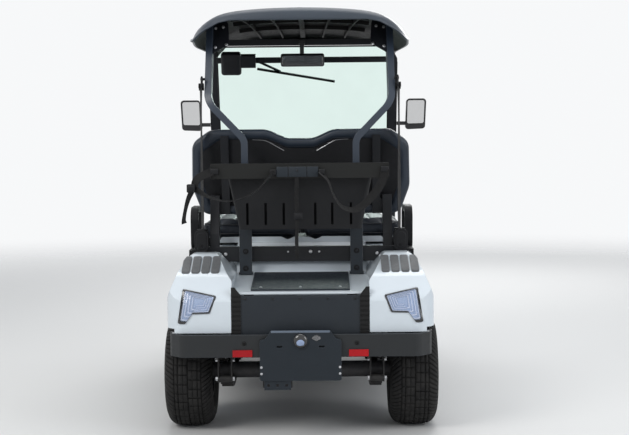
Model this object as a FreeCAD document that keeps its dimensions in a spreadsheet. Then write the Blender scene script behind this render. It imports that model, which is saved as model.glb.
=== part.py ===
import FreeCAD, Part
import math
import os
import re
from types import SimpleNamespace
from FreeCAD import Placement, Rotation, Vector

# A two-seat electric golf cart. Millimetres, +Y forward, +X to the cart's right, +Z up.
# The origin is on the ground under the middle of the cart.

# Driving sizes: name, value, what it is
SIZE_ROWS = [
    ("wheelbase", 1670, "front axle to rear axle"),
    ("rear_axle_y", -845, "rear axle from the origin"),
    ("track_outer", 1200, "over the outer faces of a pair of tyres"),
    ("tyre_diameter", 490, "over the tread"),
    ("tyre_width", 215, "over the sidewalls"),
    ("tyre_round", 52, "radius where tread meets sidewall"),
    ("tyre_wall", 14, "thickness of the tyre's carcass"),
    ("rim_diameter", 254, "bead seat"),
    ("rim_width", 176, "over the rim's flanges"),
    ("rim_wall", 8, "thickness of the rim's barrel"),
    ("rim_disc_out", 34, "wheel disc outward of the wheel's middle"),
    ("rim_disc_thick", 12, "wheel disc"),
    ("rim_window_count", 7, "windows in the wheel disc"),
    ("rim_window_radius", 19, "half the width of a window"),
    ("rim_window_circle", 78, "middle of a window from the axle line"),
    ("hub_radius", 46, "wheel hub"),
    ("shaft_radius", 17, "axle shaft and spindle"),
    ("shaft_clearance", 0.06, "between a shaft and the hub's bore"),
    ("face_clearance", 0.4, "between faces that turn past each other"),
    ("seat_gap", 0.3, "between a piece and what it is seated on"),
    ("rail_tyre_gap", 60, "middle of a main rail inward of the tyres' inner faces"),
    ("rail_wide", 50, "main rail, across"),
    ("rail_tall", 70, "main rail, height"),
    ("rail_high_z", 352, "underside of the rails over the axles"),
    ("rail_low_z", 262, "underside of the rails under the floor"),
    ("rail_rear_y", -1165, "rear end of the main rails"),
    ("kick_rear_y", -560, "top of the slope down from the rear rails"),
    ("kick_run", 90, "length of that slope"),
    ("floor_front_gap", 365, "main rails' front end behind the front axle"),
    ("nose_rail_x", 180, "middle of a front rail from the centre line"),
    ("nose_rail_back", 440, "front rails' rear end behind the front axle"),
    ("nose_rail_front", 300, "front rails' front end ahead of the front axle"),
    ("nose_kick_back", 342, "foot of the front rails' slope behind the front axle"),
    ("nose_kick_run", 75, "length of that slope"),
    ("cross_wide", 50, "cross member, along the cart"),
    ("bearer_low_z", 292, "underside of the floor's bearers"),
    ("bearer_rear_y", -140, "rear face of the rear floor bearer"),
    ("well_post_in", 125, "inner face of a post under the bag well, inward of a main rail's middle"),
    ("well_post_wide", 40, "that post, across"),
    ("well_post_deep", 30, "that post, along the cart"),
    ("axle_tube_radius", 36, "rear axle tube"),
    ("axle_flange_radius", 62, "brake drum beside the wheel"),
    ("axle_flange_thick", 34, "brake drum, along the axle"),
    ("gearcase_radius", 84, "final drive case"),
    ("gearcase_wide", 130, "final drive case, across"),
    ("gearcase_x", -110, "middle of that case from the centre line"),
    ("motor_radius", 88, "drive motor"),
    ("motor_length", 235, "drive motor, across"),
    ("motor_up", 26, "motor's middle above the axle's"),
    ("beam_tall", 50, "front axle beam, height and depth"),
    ("kingpin_out", 27, "kingpin outward of a main rail's middle"),
    ("kingpin_radius", 10, "kingpin"),
    ("eye_radius", 21, "beam's kingpin eye"),
    ("eye_tall", 62, "beam's kingpin eye, height"),
    ("ear_tall", 16, "knuckle's ear above or below the eye"),
    ("steer_arm", 112, "tie rod's pins behind the kingpins"),
    ("tie_rod_radius", 9, "tie rod"),
    ("spring_half", 285, "rear spring, half its length between eyes"),
    ("spring_eye_z", 252, "rear spring's eyes above the ground"),
    ("spring_low_z", 184, "rear spring's underside at the axle"),
    ("spring_wide", 50, "spring leaf, across"),
    ("leaf_thick", 8, "spring leaf"),
    ("front_spring_half", 245, "front spring, half its length"),
    ("spring_eye_radius", 16, "eye rolled on a spring's end"),
    ("front_spring_x", 180, "front spring from the centre line"),
    ("shackle_plate", 6, "shackle plate"),
    ("shackle_bolt", 9, "bolt's head on a shackle"),
    ("battery_long", 285, "battery pack, along the cart"),
    ("battery_wide", 600, "battery pack, across"),
    ("battery_tall", 268, "battery pack, height"),
    ("battery_rear_y", -455, "rear face of the battery pack"),
    ("body_wall", 10, "thickness of the moulded body"),
    ("body_low_z", 458, "lower edge of the rear fenders"),
    ("body_rear_y", -1172, "rear face of the rear fenders"),
    ("body_front_y", -400, "front edge of the rear fenders"),
    ("fender_out_x", 583, "widest line of the rear fenders"),
    ("fender_tyre_gap", 91, "inner face of a rear fender inward of the tyre's"),
    ("fender_in_most", 294, "that face from the centre line at most"),
    ("fender_top_z", 775, "top of the rear fenders"),
    ("fender_top_in", 368, "inner end of the fender's flat top"),
    ("fender_top_out", 490, "outer end of the fender's flat top"),
    ("fender_cheek_x", 528, "fender's upper corner from the centre line"),
    ("fender_cheek_z", 712, "that corner above the ground"),
    ("fender_shoulder_z", 673, "inner shoulder of the fender"),
    ("fender_hip_z", 590, "outer hip of the fender"),
    ("fender_hip_in", 6, "that hip inward of the widest line"),
    ("pad_thick", 7, "pad on top of a fender"),
    ("pad_in_x", 350, "inner edge of the pads on a fender"),
    ("pad_out_x", 512, "outer edge of those pads"),
    ("pad_rear_y", -1082, "rear end of the pads"),
    ("pad_front_y", -945, "front end of the pads"),
    ("pad_count", 4, "pads side by side"),
    ("pad_gap", 8, "between two pads"),
    ("arch_radius", 300, "rear wheel arch"),
    ("front_arch_radius", 338, "front wheel arch, with room to steer"),
    ("well_floor_rear_z", 620, "bag well's floor at its rear lip"),
    ("well_floor_rise", 42, "bag well's floor, rise to the front"),
    ("well_front_y", -738, "foot of the bag well's front wall"),
    ("trim_wide", 42, "trim between the valance under the well's lip and a fender"),
    ("mat_in", 82, "side of the bag well's mat inward of the fender's inner face"),
    ("mat_thick", 8, "that mat"),
    ("trim_rib_count", 8, "ribs of the trim beside the valance"),
    ("trim_rise", 36, "that trim's outer edge over the bag well's lip"),
    ("deck_z", 800, "top of the body under the seat"),
    ("deck_rear_y", -630, "rear edge of that top"),
    ("deck_lip_thick", 14, "raised edge behind the cushions"),
    ("seat_box_half", 420, "half the width of the seat box"),
    ("seat_box_front_y", -62, "front edge of the seat box at its top"),
    ("seat_box_heel", 80, "heel room, front wall's setback at the floor"),
    ("floor_z", 345, "underside of the floor pan"),
    ("floor_thick", 14, "floor pan"),
    ("floor_half", 556, "half the width of the floor pan"),
    ("toe_rise", 345, "toe board's height over the floor"),
    ("toe_run", 146, "toe board's slope forward"),
    ("sill_tall", 78, "side sill, height"),
    ("sill_wide", 44, "side sill, across"),
    ("cowl_half", 575, "half the width of the front cowl"),
    ("cowl_low_z", 446, "lower edge of the front cowl"),
    ("cowl_nose_y", 1214, "foremost face of the front cowl"),
    ("cowl_rear_y", 470, "rear edge of the front cowl"),
    ("cowl_top_z", 905, "top of the cowl at the windscreen"),
    ("cowl_nose_z", 690, "top of the cowl's nose"),
    ("cowl_open_back", 60, "how far the cowl's hollow is carried out of its rear"),
    ("liner_in_x", 236, "inner face of a front arch's liner"),
    ("liner_thick", 5, "thickness of that liner"),
    ("pocket_x", 60, "middle of the dash's first pocket"),
    ("pocket_step", 240, "pocket to pocket"),
    ("pocket_wide", 164, "dash pocket, across"),
    ("pocket_tall", 84, "dash pocket, height"),
    ("pocket_deep", 95, "dash pocket, depth"),
    ("screen_foot_y", 690, "windscreen's foot"),
    ("screen_foot_z", 915, "windscreen's foot above the ground"),
    ("screen_top_y", 360, "windscreen's top"),
    ("screen_top_drop", 112, "windscreen's top under the roof's top"),
    ("screen_thick", 6, "windscreen glass"),
    ("strut_half", 486, "middle of a front strut from the centre line"),
    ("front_strut_wide", 48, "front strut, across"),
    ("front_strut_deep", 36, "front strut, along the cart"),
    ("strut_foot_z", 690, "front strut's foot inside the cowl"),
    ("rear_strut_wide", 30, "rear strut, across"),
    ("rear_strut_deep", 30, "rear strut, along the cart"),
    ("rear_strut_in", 14, "rear strut's upper part inward of the seat bar's end"),
    ("rear_strut_top_y", -560, "rear strut's top"),
    ("rear_strut_foot", 107, "straight foot of a rear strut"),
    ("rear_strut_knee", 0.27, "where its upper part begins, as a share of the way up from that foot"),
    ("rack_leg_in", 44, "bag rack's leg inward of the fender's inner face"),
    ("rack_leg_wide", 56, "bag rack's leg, across"),
    ("rack_leg_thick", 12, "bag rack's leg, along the cart"),
    ("rack_leg_y", -806, "rear face of the bag rack's legs"),
    ("rack_arm_wide", 26, "arm from a leg back to the bar, across"),
    ("rack_arm_drop", 4, "arm's top under the bar's"),
    ("rack_y", -1030, "rear face of the bag rack's bar"),
    ("rack_bar_half", 385, "half the length of the rack's bar"),
    ("rack_bar_low_z", 1108, "underside of the rack's bar"),
    ("rack_bar_tall", 66, "rack's bar, height"),
    ("rack_bar_deep", 46, "rack's bar, along the cart"),
    ("sheet_thick", 4, "bent sheet steel"),
    ("strap_wide", 38, "bag strap's webbing, across"),
    ("strap_thick", 3, "bag strap's webbing"),
    ("basket_top_z", 1150, "basket's rim"),
    ("basket_low_z", 884, "basket's underside"),
    ("basket_top_half", 322, "half the basket's width at its rim"),
    ("basket_low_half", 268, "half the basket's width at its floor"),
    ("basket_front_lean", 30, "front wall's lean from floor to rim"),
    ("basket_wall", 6, "basket's wall"),
    ("basket_slot_wide", 11, "slot in the basket's rear wall"),
    ("basket_slot_tall", 96, "slot's height"),
    ("seat_rail_half", 425, "half the length of the seat frame's bar"),
    ("seat_rail_low_z", 722, "underside of the seat frame's bar"),
    ("seat_rail_tall", 68, "seat frame's bar, height"),
    ("seat_rail_deep", 34, "seat frame's bar, along the cart"),
    ("seat_rail_y", -742, "rear face of the seat frame's bar"),
    ("seat_post_in", 31, "seat frame's post inward of the bar's end"),
    ("seat_post_wide", 42, "seat frame's post, across"),
    ("back_bar_in", 80, "upright bar behind the seat back, inward of the bar's end"),
    ("back_bar_wide", 36, "that bar, across"),
    ("cushion_half", 470, "half the width over both seat cushions"),
    ("cushion_gap", 26, "between the two seat cushions"),
    ("cushion_thick", 104, "seat cushion"),
    ("cushion_long", 455, "seat cushion, along the cart"),
    ("cushion_round", 34, "seat cushion's rounded edge"),
    ("lid_thick", 14, "board under the seat cushions"),
    ("lid_hinge_down", 7, "lid's hinge line under the board's top"),
    ("lid_hinge_x", 250, "middle of a lid hinge from the centre line"),
    ("lid_hinge_long", 80, "lid's own hinge barrel"),
    ("lid_hinge_radius", 6.6, "hinge barrel"),
    ("arm_loop_x", 482, "inner face of an arm loop from the centre line at least"),
    ("arm_loop_gap", 40, "that face outward of the seat box at least"),
    ("arm_loop_wide", 36, "arm loop, across"),
    ("back_half", 500, "half the width of the seat back"),
    ("back_low_z", 930, "lower edge of the seat back"),
    ("back_top_z", 1325, "top of the seat back's humps"),
    ("back_dip", 42, "dip between the two humps"),
    ("back_lean", 12, "seat back's lean in degrees"),
    ("shell_thick", 34, "seat back's shell"),
    ("shell_y", -655, "rear face of the shell at its foot"),
    ("shell_border", 52, "rolled border round the shell's rear face"),
    ("shell_recess", 10, "panel inside that border, how far in"),
    ("back_thick", 88, "seat back's cushion"),
    ("belt_wide", 44, "belt's webbing, across"),
    ("belt_thick", 2.4, "belt's webbing"),
    ("belt_ring_y", -768, "belt's guide on the rear strut"),
    ("belt_ring_up", 0.169, "that guide above the strut's knee, as a share of the way up to the roof's top"),
    ("belt_ring_tall", 0.124, "that guide's height, as a share of the same way"),
    ("belt_ring_wide", 27, "that guide, across"),
    ("belt_ring_out", 6, "that guide outward of the strut"),
    ("belt_box_wide", 64, "belt's retractor, across"),
    ("belt_box_tall", 104, "retractor, height"),
    ("belt_box_deep", 46, "retractor, along the cart"),
    ("belt_box_up", 98, "retractor's middle above the underside of the seat bar"),
    ("belt_box_out", 26, "retractor's middle outward of the bar's end"),
    ("roof_half", 545, "half the roof's width in the middle"),
    ("roof_rear_half", 490, "half the roof's width at its ends"),
    ("roof_rear_y", -806, "roof's rear edge"),
    ("roof_front_y", 640, "roof's front edge"),
    ("roof_top_z", 1895, "top of the roof"),
    ("roof_low_drop", 178, "lowest edge of the roof under its top"),
    ("roof_wall", 14, "thickness of the roof"),
    ("roof_rib_tall", 20, "ribs under the roof"),
    ("roof_end_drop", 29, "how far the roof's ends lie under its middle"),
    ("roof_shoulder_x", 330, "where the crown begins to fall"),
    ("roof_shoulder_drop", 18, "that line under the roof's top"),
    ("roof_knee_in", 65, "where the crown turns down, inward of the side edge"),
    ("roof_knee_drop", 62, "that line under the roof's top"),
    ("roof_side_drop", 165, "roof's side edge under its top"),
    ("roof_corner", 130, "roof's corner in plan"),
    ("roof_rear_bow", 86, "underside of the roof's rear edge under its top"),
    ("roof_front_bow", 71, "underside of the roof's front edge under its top"),
    ("roof_side_bow", 150, "underside of the roof's side edge under its top"),
    ("roof_crown_radius", 2600, "roof's curve across the cart"),
    ("bumper_half", 562, "half the rear bumper's width"),
    ("bumper_low_z", 360, "rear bumper's underside"),
    ("bumper_tall", 96, "rear bumper, height"),
    ("bumper_rear_y", -1205, "rear bumper's rear face"),
    ("bumper_side", 118, "rear bumper's reach round the side"),
    ("bumper_wall", 12, "rear bumper's thickness"),
    ("plate_half", 172, "half the plate bracket's width"),
    ("plate_low_z", 262, "plate bracket's lower edge"),
    ("plate_tall", 206, "plate bracket, height"),
    ("plate_shoulder_z", 434, "where the plate bracket narrows to its neck"),
    ("plate_neck_half", 128, "half the width of that neck"),
    ("plate_slot_x", 89, "slot for the number plate from the centre line"),
    ("plate_slot_z", 407, "that slot above the ground"),
    ("plate_slot_wide", 24, "that slot, across"),
    ("plate_slot_tall", 8, "that slot, height"),
    ("plate_thick", 20, "plate bracket's depth"),
    ("plate_lamp_radius", 32, "plate lamp's hood"),
    ("plate_lamp_out", 5, "that hood rearward of the bracket's face"),
    ("hitch_hole_radius", 7, "holes in the tab under the bracket"),
    ("hitch_hole_x", -98, "middle one of three holes from the centre line"),
    ("hitch_hole_step", 38, "hole to hole"),
    ("hitch_tab_half", 56, "half the tab's width"),
    ("hitch_tab_tall", 40, "the tab under the bracket"),
    ("reflector_in_x", 204, "inner end of a reflector"),
    ("reflector_out_x", 287, "outer end of a reflector"),
    ("reflector_up", 2, "reflector over the bumper's underside"),
    ("reflector_tall", 29, "reflector, height"),
    ("reflector_thick", 7, "reflector, along the cart"),
    ("front_bumper_out", 24, "front bumper, outside the cowl's outline"),
    ("front_bumper_low_z", 300, "front bumper's underside"),
    ("front_bumper_y", 1230, "front bumper's foremost face"),
    ("steer_x", -250, "steering wheel from the centre line"),
    ("steer_y", 262, "steering wheel's middle"),
    ("steer_z", 985, "steering wheel's middle above the ground"),
    ("steer_tilt", 34, "column from level, in degrees"),
    ("steer_radius", 172, "steering wheel's rim, middle line"),
    ("steer_rim", 14, "radius of the rim's section"),
    ("steer_hub_radius", 38, "steering wheel's hub"),
    ("steer_hub_tall", 36, "that hub, along the column"),
    ("spoke_wide", 22, "steering wheel's spoke, across"),
    ("spoke_thick", 8, "that spoke"),
    ("column_radius", 24, "steering column"),
    ("column_length", 430, "steering column under the wheel"),
    ("mirror_x", 612, "side mirror's middle from the centre line"),
    ("mirror_z", 1408, "side mirror's middle above the ground"),
    ("mirror_tall", 168, "side mirror, height"),
    ("mirror_wide", 108, "side mirror, across"),
    ("mirror_deep", 46, "side mirror, along the cart"),
]


def make_sheet(doc):
    """Write the driving sizes into the spreadsheet, one named cell each."""
    sheet = doc.addObject("Spreadsheet::Sheet", "Sizes")
    for row, (name, value, meaning) in enumerate(SIZE_ROWS, start=1):
        sheet.set("A%d" % row, meaning)
        sheet.set("B%d" % row, str(value))
        sheet.setAlias("B%d" % row, name)
    doc.recompute()
    return sheet


doc = FreeCAD.newDocument("GolfCart")
sheet = make_sheet(doc)
size = SimpleNamespace(**{name: float(sheet.get(name)) for name, _, _ in SIZE_ROWS})

# Places that follow from the driving sizes, as formulas for the parametric pieces
PLACES = {
    "front_axle_y": "(rear_axle_y + wheelbase)",
    "axle_z": "(tyre_diameter / 2)",
    "tyre_x": "(track_outer / 2 - tyre_width / 2)",
    "rail_front_y": "(rear_axle_y + wheelbase - floor_front_gap)",
    "hub_face_x": "(track_outer / 2 - tyre_width / 2 + rim_disc_out)",
    "kingpin_x": "(rail_x + kingpin_out)",
    "rail_x": "(track_outer / 2 - tyre_width - rail_tyre_gap)",
}
# The same places as numbers
front_axle_y = size.rear_axle_y + size.wheelbase
axle_z = size.tyre_diameter / 2
tyre_x = size.track_outer / 2 - size.tyre_width / 2
hub_face_x = tyre_x + size.rim_disc_out
tyre_in_x = size.track_outer / 2 - size.tyre_width
rail_x = tyre_in_x - size.rail_tyre_gap
fender_in_x = min(size.fender_in_most, tyre_in_x - size.fender_tyre_gap)
arm_loop_x = max(size.arm_loop_x, size.seat_box_half + size.arm_loop_gap)
seat_post_x = size.seat_rail_half - size.seat_post_in
back_bar_x = size.seat_rail_half - size.back_bar_in
strut_top_x = size.seat_rail_half - size.rear_strut_in
screen_top_z = size.roof_top_z - size.screen_top_drop
roof_low_z = size.roof_top_z - size.roof_low_drop

X_AXIS = Vector(1, 0, 0)
Y_AXIS = Vector(0, 1, 0)
Z_AXIS = Vector(0, 0, 1)
TURNS = {"x": Rotation(Y_AXIS, 90), "y": Rotation(X_AXIS, -90), "z": Rotation()}
SIDES = (("left", -1), ("right", 1))
nodes = []


def formula(words):
    """Turn a formula of size names into one that reads their cells."""
    words = str(words)
    for name, meaning in PLACES.items():
        words = re.sub(r"\b%s\b" % name, meaning, words)
    return re.sub(r"\b[a-z][a-z_0-9]*[a-z0-9]\b",
                  lambda hit: "Sizes." + hit.group() if hasattr(size, hit.group()) else hit.group(),
                  words)


def bind(thing, prop, words):
    thing.setExpression(prop, formula(words))


def place(thing, at):
    for axis, words in zip("xyz", at):
        bind(thing, "Placement.Base." + axis, words)


def block(name, low, extent):
    """A box from its low corner and its extent, all formulas."""
    box = doc.addObject("Part::Box", name)
    for prop, words in zip(("Length", "Width", "Height"), extent):
        bind(box, prop, words)
    place(box, low)
    return box


def rod(name, start, radius, length, along="z"):
    """A cylinder from its start point along one axis."""
    cylinder = doc.addObject("Part::Cylinder", name)
    cylinder.Placement = Placement(Vector(), TURNS[along])
    bind(cylinder, "Radius", radius)
    bind(cylinder, "Height", length)
    place(cylinder, start)
    return cylinder


def fuse(name, *things):
    joined = doc.addObject("Part::MultiFuse", name)
    joined.Shapes = list(things)
    return joined


def cut(name, base, *tools):
    tool = tools[0] if len(tools) == 1 else fuse(name + "_tools", *tools)
    result = doc.addObject("Part::Cut", name)
    result.Base = base
    result.Tool = tool
    return result


def mirrored(name, thing):
    """The same piece on the cart's other side."""
    twin = doc.addObject("Part::Mirroring", name)
    twin.Source = thing
    twin.Base = Vector()
    twin.Normal = X_AXIS
    return twin


PLANES = {"side": "YZ_Plane", "front": "XZ_Plane", "plan": "XY_Plane"}


def sketch_on(body, view, offset, outlines):
    """A sketch of closed outlines whose corners are formulas of the sheet's sizes."""
    import Sketcher
    planes = {feature.Role: feature for feature in body.Origin.OriginFeatures}
    sketch = body.newObject("Sketcher::SketchObject", body.Name + "_outline")
    sketch.AttachmentSupport = [(planes[PLANES[view]], "")]
    sketch.MapMode = "FlatFace"
    bind(sketch, "AttachmentOffset.Base.z", offset)
    for corners in outlines:
        first = sketch.GeometryCount
        count = len(corners)
        for index in range(count):
            angle, following = 2 * math.pi * index / count, 2 * math.pi * (index + 1) / count
            sketch.addGeometry(Part.LineSegment(
                Vector(math.cos(angle), math.sin(angle), 0),
                Vector(math.cos(following), math.sin(following), 0)), False)
        for index in range(count):
            following = first + (index + 1) % count
            sketch.addConstraint(Sketcher.Constraint("Coincident", first + index, 2, following, 1))
        for index, (across, up) in enumerate(corners):
            for kind, words in (("DistanceX", across), ("DistanceY", up)):
                number = sketch.addConstraint(
                    Sketcher.Constraint(kind, -1, 1, first + index, 1, 1.0))
                bind(sketch, "Constraints[%d]" % number, words)
    return sketch


def padded(name, view, outlines, start, depth):
    """A body padded from one or more outlines, between start and start plus depth."""
    body = doc.addObject("PartDesign::Body", name)
    offset = "-(%s) - (%s)" % (start, depth) if view == "front" else start
    sketch = sketch_on(body, view, offset, outlines)
    pad = body.newObject("PartDesign::Pad", name + "_pad")
    pad.Profile = sketch
    bind(pad, "Length", depth)
    sketch.Visibility = False
    return body


def turned(name, outline):
    """A body revolved about the X axis through its own origin; corners are across and out."""
    body = doc.addObject("PartDesign::Body", name)
    sketch = sketch_on(body, "plan", "0", [outline])
    turn = body.newObject("PartDesign::Revolution", name + "_turn")
    turn.Profile = sketch
    turn.ReferenceAxis = (sketch, ["H_Axis"])
    turn.Angle = 360
    return body


def made(name, shape):
    """A piece whose shape Part's own functions give."""
    piece = doc.addObject("Part::Feature", name)
    piece.Shape = shape
    return piece


def node(name, piece):
    """Name a finished piece for export."""
    piece.Label = name
    nodes.append(piece)
    return piece


def rounded(points, radii):
    """A closed wire through 3D corners, each with its own round."""
    edges = []
    count = len(points)
    starts, ends = [], []
    arcs = []
    for index in range(count):
        before, corner, after = points[index - 1], points[index], points[(index + 1) % count]
        radius = radii[index] if isinstance(radii, (list, tuple)) else radii
        back = (before - corner).normalize()
        ahead = (after - corner).normalize()
        half = back.getAngle(ahead) / 2
        if radius <= 0 or half > math.pi / 2 - 0.001:
            starts.append(corner)
            ends.append(corner)
            arcs.append(None)
            continue
        reach = radius / math.tan(half)
        middle = corner + (back + ahead).normalize() * (radius / math.sin(half) - radius)
        starts.append(corner + back * reach)
        ends.append(corner + ahead * reach)
        arcs.append(middle)
    for index in range(count):
        if arcs[index] is not None:
            edges.append(Part.Arc(starts[index], arcs[index], ends[index]).toShape())
        following = starts[(index + 1) % count]
        if ends[index].distanceToPoint(following) > 1e-6:
            edges.append(Part.LineSegment(ends[index], following).toShape())
    return Part.Wire(edges)


VIEW_POINT = {
    "side": lambda across, up, depth: Vector(depth, across, up),
    "front": lambda across, up, depth: Vector(across, depth, up),
    "plan": lambda across, up, depth: Vector(across, up, depth),
}
VIEW_NORMAL = {"side": X_AXIS, "front": Y_AXIS, "plan": Z_AXIS}


def prism(view, corners, radii, start, end, grow=0.0):
    """An outline with rounded corners, seen in one view, carried from start to end."""
    point = VIEW_POINT[view]
    wire = rounded([point(across, up, start) for across, up in corners], radii)
    face = Part.Face(wire)
    if grow:
        face = face.makeOffset2D(grow)
    return face.extrude(VIEW_NORMAL[view] * (end - start))


def boxed(low, high):
    """A plain box shape between two corners."""
    extent = [high[axis] - low[axis] for axis in range(3)]
    return Part.makeBox(*extent, Vector(*low))


def mirror_x(shape):
    return shape.mirror(Vector(), X_AXIS)


def pair(shape):
    return Part.makeCompound([shape, mirror_x(shape)])


def bent_path(points, radii):
    """Straight runs joined by arcs, as one wire."""
    edges = []
    here = points[0]
    for index in range(1, len(points) - 1):
        corner, radius = points[index], radii[index - 1]
        back = (points[index - 1] - corner).normalize()
        ahead = (points[index + 1] - corner).normalize()
        half = back.getAngle(ahead) / 2
        reach = radius / math.tan(half)
        middle = corner + (back + ahead).normalize() * (radius / math.sin(half) - radius)
        edges.append(Part.LineSegment(here, corner + back * reach).toShape())
        edges.append(Part.Arc(corner + back * reach, middle, corner + ahead * reach).toShape())
        here = corner + ahead * reach
    edges.append(Part.LineSegment(here, points[-1]).toShape())
    return Part.Wire(edges)


def bent_tube(points, radii, wide, deep, across=X_AXIS):
    """A rectangular tube swept along straight runs joined by arcs."""
    along = (points[1] - points[0]).normalize()
    side = (across - along * across.dot(along)).normalize()
    other = along.cross(side)
    corners = [points[0] + side * (wide / 2 * a) + other * (deep / 2 * b)
               for a, b in ((-1, -1), (1, -1), (1, 1), (-1, 1))]
    profile = Part.Wire(Part.makePolygon(corners + corners[:1]).Edges)
    return bent_path(points, radii).makePipeShell([profile], True, False, 2)


def webbing(points, radii, wide, thick):
    """A strap seen on edge from behind: a bent path given a thickness, as wide as it reaches along Y."""
    outline = bent_path(points, radii).makeOffset2D(thick / 2)
    return Part.Face(outline).extrude(Vector(0, wide, 0))


# Wheels


def tyre_shape():
    """A hollow carcass, open towards the rim, turned about the X axis."""
    half, outer = size.tyre_width / 2, size.tyre_diameter / 2
    bead, rim_half = size.rim_diameter / 2, size.rim_width / 2 - size.rim_wall
    heel = bead + size.rim_wall + 4
    belly = bead + (outer - bead) * 0.5
    right = [(rim_half, bead), (rim_half, heel), (half, belly), (half - 14, outer)]
    rounds = [0, 0, 46, size.tyre_round]
    corners = right + [(-across, out) for across, out in reversed(right)]
    outline = Part.Face(rounded([Vector(across, out, 0) for across, out in corners],
                                rounds + rounds[::-1]))
    wall = size.tyre_wall
    inside = [(rim_half - wall, bead - 1), (rim_half - wall, heel + wall / 2), (half - wall, belly),
              (half - wall - 14, outer - wall)]
    corners = inside + [(-across, out) for across, out in reversed(inside)]
    rounds = [0, 0, 46 - wall, size.tyre_round - wall]
    hollow = Part.Face(rounded([Vector(across, out, 0) for across, out in corners],
                               rounds + rounds[::-1]))
    return outline.cut(hollow).revolve(Vector(), X_AXIS, 360)


def make_rim(name):
    """Barrel with flanges, a disc with windows and a bored hub."""
    seat, wall = "rim_diameter / 2", "rim_wall"
    barrel = turned(name + "_barrel", [
        ("-rim_width / 2", seat + " - rim_wall"), ("rim_width / 2", seat + " - rim_wall"),
        ("rim_width / 2", seat + " + rim_wall"), ("rim_width / 2 - rim_wall", seat + " + rim_wall"),
        ("rim_width / 2 - rim_wall", seat), ("-rim_width / 2 + rim_wall", seat),
        ("-rim_width / 2 + rim_wall", seat + " + rim_wall"), ("-rim_width / 2", seat + " + rim_wall")])
    bore = "shaft_radius + shaft_clearance"
    disc = turned(name + "_disc", [
        ("rim_disc_out", bore), ("rim_disc_out + rim_disc_thick + 14", bore),
        ("rim_disc_out + rim_disc_thick + 14", "hub_radius - 8"),
        ("rim_disc_out + rim_disc_thick", "hub_radius"),
        ("rim_disc_out + rim_disc_thick", seat + " - rim_wall"),
        ("rim_disc_out", seat + " - rim_wall")])
    windows = []
    for index in range(int(size.rim_window_count)):
        angle = 2 * math.pi * index / size.rim_window_count
        windows.append(rod("%s_window_%d" % (name, index + 1),
                           ("rim_disc_out - 5", "rim_window_circle * %.6f" % math.cos(angle),
                            "rim_window_circle * %.6f" % math.sin(angle)),
                           "rim_window_radius", "rim_disc_thick + 10", "x"))
    return cut(name + "_wheel", fuse(name + "_solid", barrel, disc), *windows)


def moved(name, piece, at, turn=None):
    """A copy of a piece at a place of its own, its place bound to the sheet."""
    there = doc.addObject("Part::Compound", name)
    there.Links = [piece]
    if turn:
        there.Placement = Placement(Vector(), turn)
    place(there, at)
    return there


carcass = made("tyre_carcass", tyre_shape())
wheel = make_rim("rim")
for axle, axle_place in (("front", "front_axle_y"), ("rear", "rear_axle_y")):
    for side, sign in SIDES:
        spot = ("%d * tyre_x" % sign, axle_place, "axle_z")
        flip = Rotation(Z_AXIS, 180) if sign < 0 else None
        node("tyre_%s_%s" % (axle, side), moved("tyre_" + axle + "_" + side, carcass, spot, flip))
        node("rim_%s_%s" % (axle, side), moved("rim_" + axle + "_" + side, wheel, spot, flip))


# Chassis frame


rail_outline = [
    ("rail_rear_y", "rail_high_z"), ("kick_rear_y", "rail_high_z"),
    ("kick_rear_y + kick_run", "rail_low_z"), ("rail_front_y", "rail_low_z"),
    ("rail_front_y", "rail_low_z + rail_tall"),
    ("kick_rear_y + kick_run + 12", "rail_low_z + rail_tall"),
    ("kick_rear_y + 12", "rail_high_z + rail_tall"), ("rail_rear_y", "rail_high_z + rail_tall")]
main_rail = padded("main_rail", "side", [rail_outline], "rail_x - rail_wide / 2", "rail_wide")
nose_rear = "front_axle_y - nose_rail_back"
nose_front = "front_axle_y + nose_rail_front"
kick = "front_axle_y - nose_kick_back"
nose_outline = [
    (nose_rear, "rail_low_z"), (kick, "rail_low_z"), (kick + " + nose_kick_run", "rail_high_z"),
    (nose_front, "rail_high_z"), (nose_front, "rail_high_z + rail_tall"),
    (kick + " + nose_kick_run - 12", "rail_high_z + rail_tall"),
    (kick + " - 12", "rail_low_z + rail_tall"), (nose_rear, "rail_low_z + rail_tall")]
nose_rail = padded("nose_rail", "side", [nose_outline], "nose_rail_x - rail_wide / 2", "rail_wide")
main_span = "2 * (rail_x + rail_wide / 2)"
nose_span = "2 * (nose_rail_x + rail_wide / 2)"
# Cross members: name, rear face, underside, whole length, height
cross_rows = [
    ("cross_rear", "rail_rear_y", "rail_high_z", main_span, "rail_tall"),
    ("cross_spring", "kick_rear_y - cross_wide", "rail_high_z", main_span, "rail_tall"),
    ("cross_battery_rear", "kick_rear_y + kick_run", "rail_low_z", main_span, "rail_tall"),
    ("cross_battery_front", "battery_rear_y + battery_long - cross_wide", "rail_low_z", main_span,
     "rail_tall"),
    ("cross_dash", "rail_front_y - cross_wide", "rail_low_z", main_span, "rail_tall"),
    ("cross_nose", "front_axle_y + nose_rail_front - cross_wide", "rail_high_z", nose_span, "rail_tall"),
]
cross_members = [block(name, ("-(%s) / 2" % span, rear, low), (span, "cross_wide", tall))
                 for name, rear, low, span, tall in cross_rows]
bearer_span = "2 * (floor_half - sill_wide - seat_gap)"
bearers = [block(name, ("-(%s) / 2" % bearer_span, rear, "bearer_low_z"),
                 (bearer_span, "cross_wide", "floor_z - seat_gap - bearer_low_z"))
           for name, rear in (("bearer_rear", "bearer_rear_y"),
                              ("bearer_front", "rail_front_y - cross_wide - 12"))]
post_low_z = "rail_high_z + rail_tall / 2"
well_post = block("well_post", ("rail_x - well_post_in", "rail_rear_y + 15", post_low_z),
                  ("well_post_wide", "well_post_deep", "well_floor_rear_z - (%s)" % post_low_z))
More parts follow.
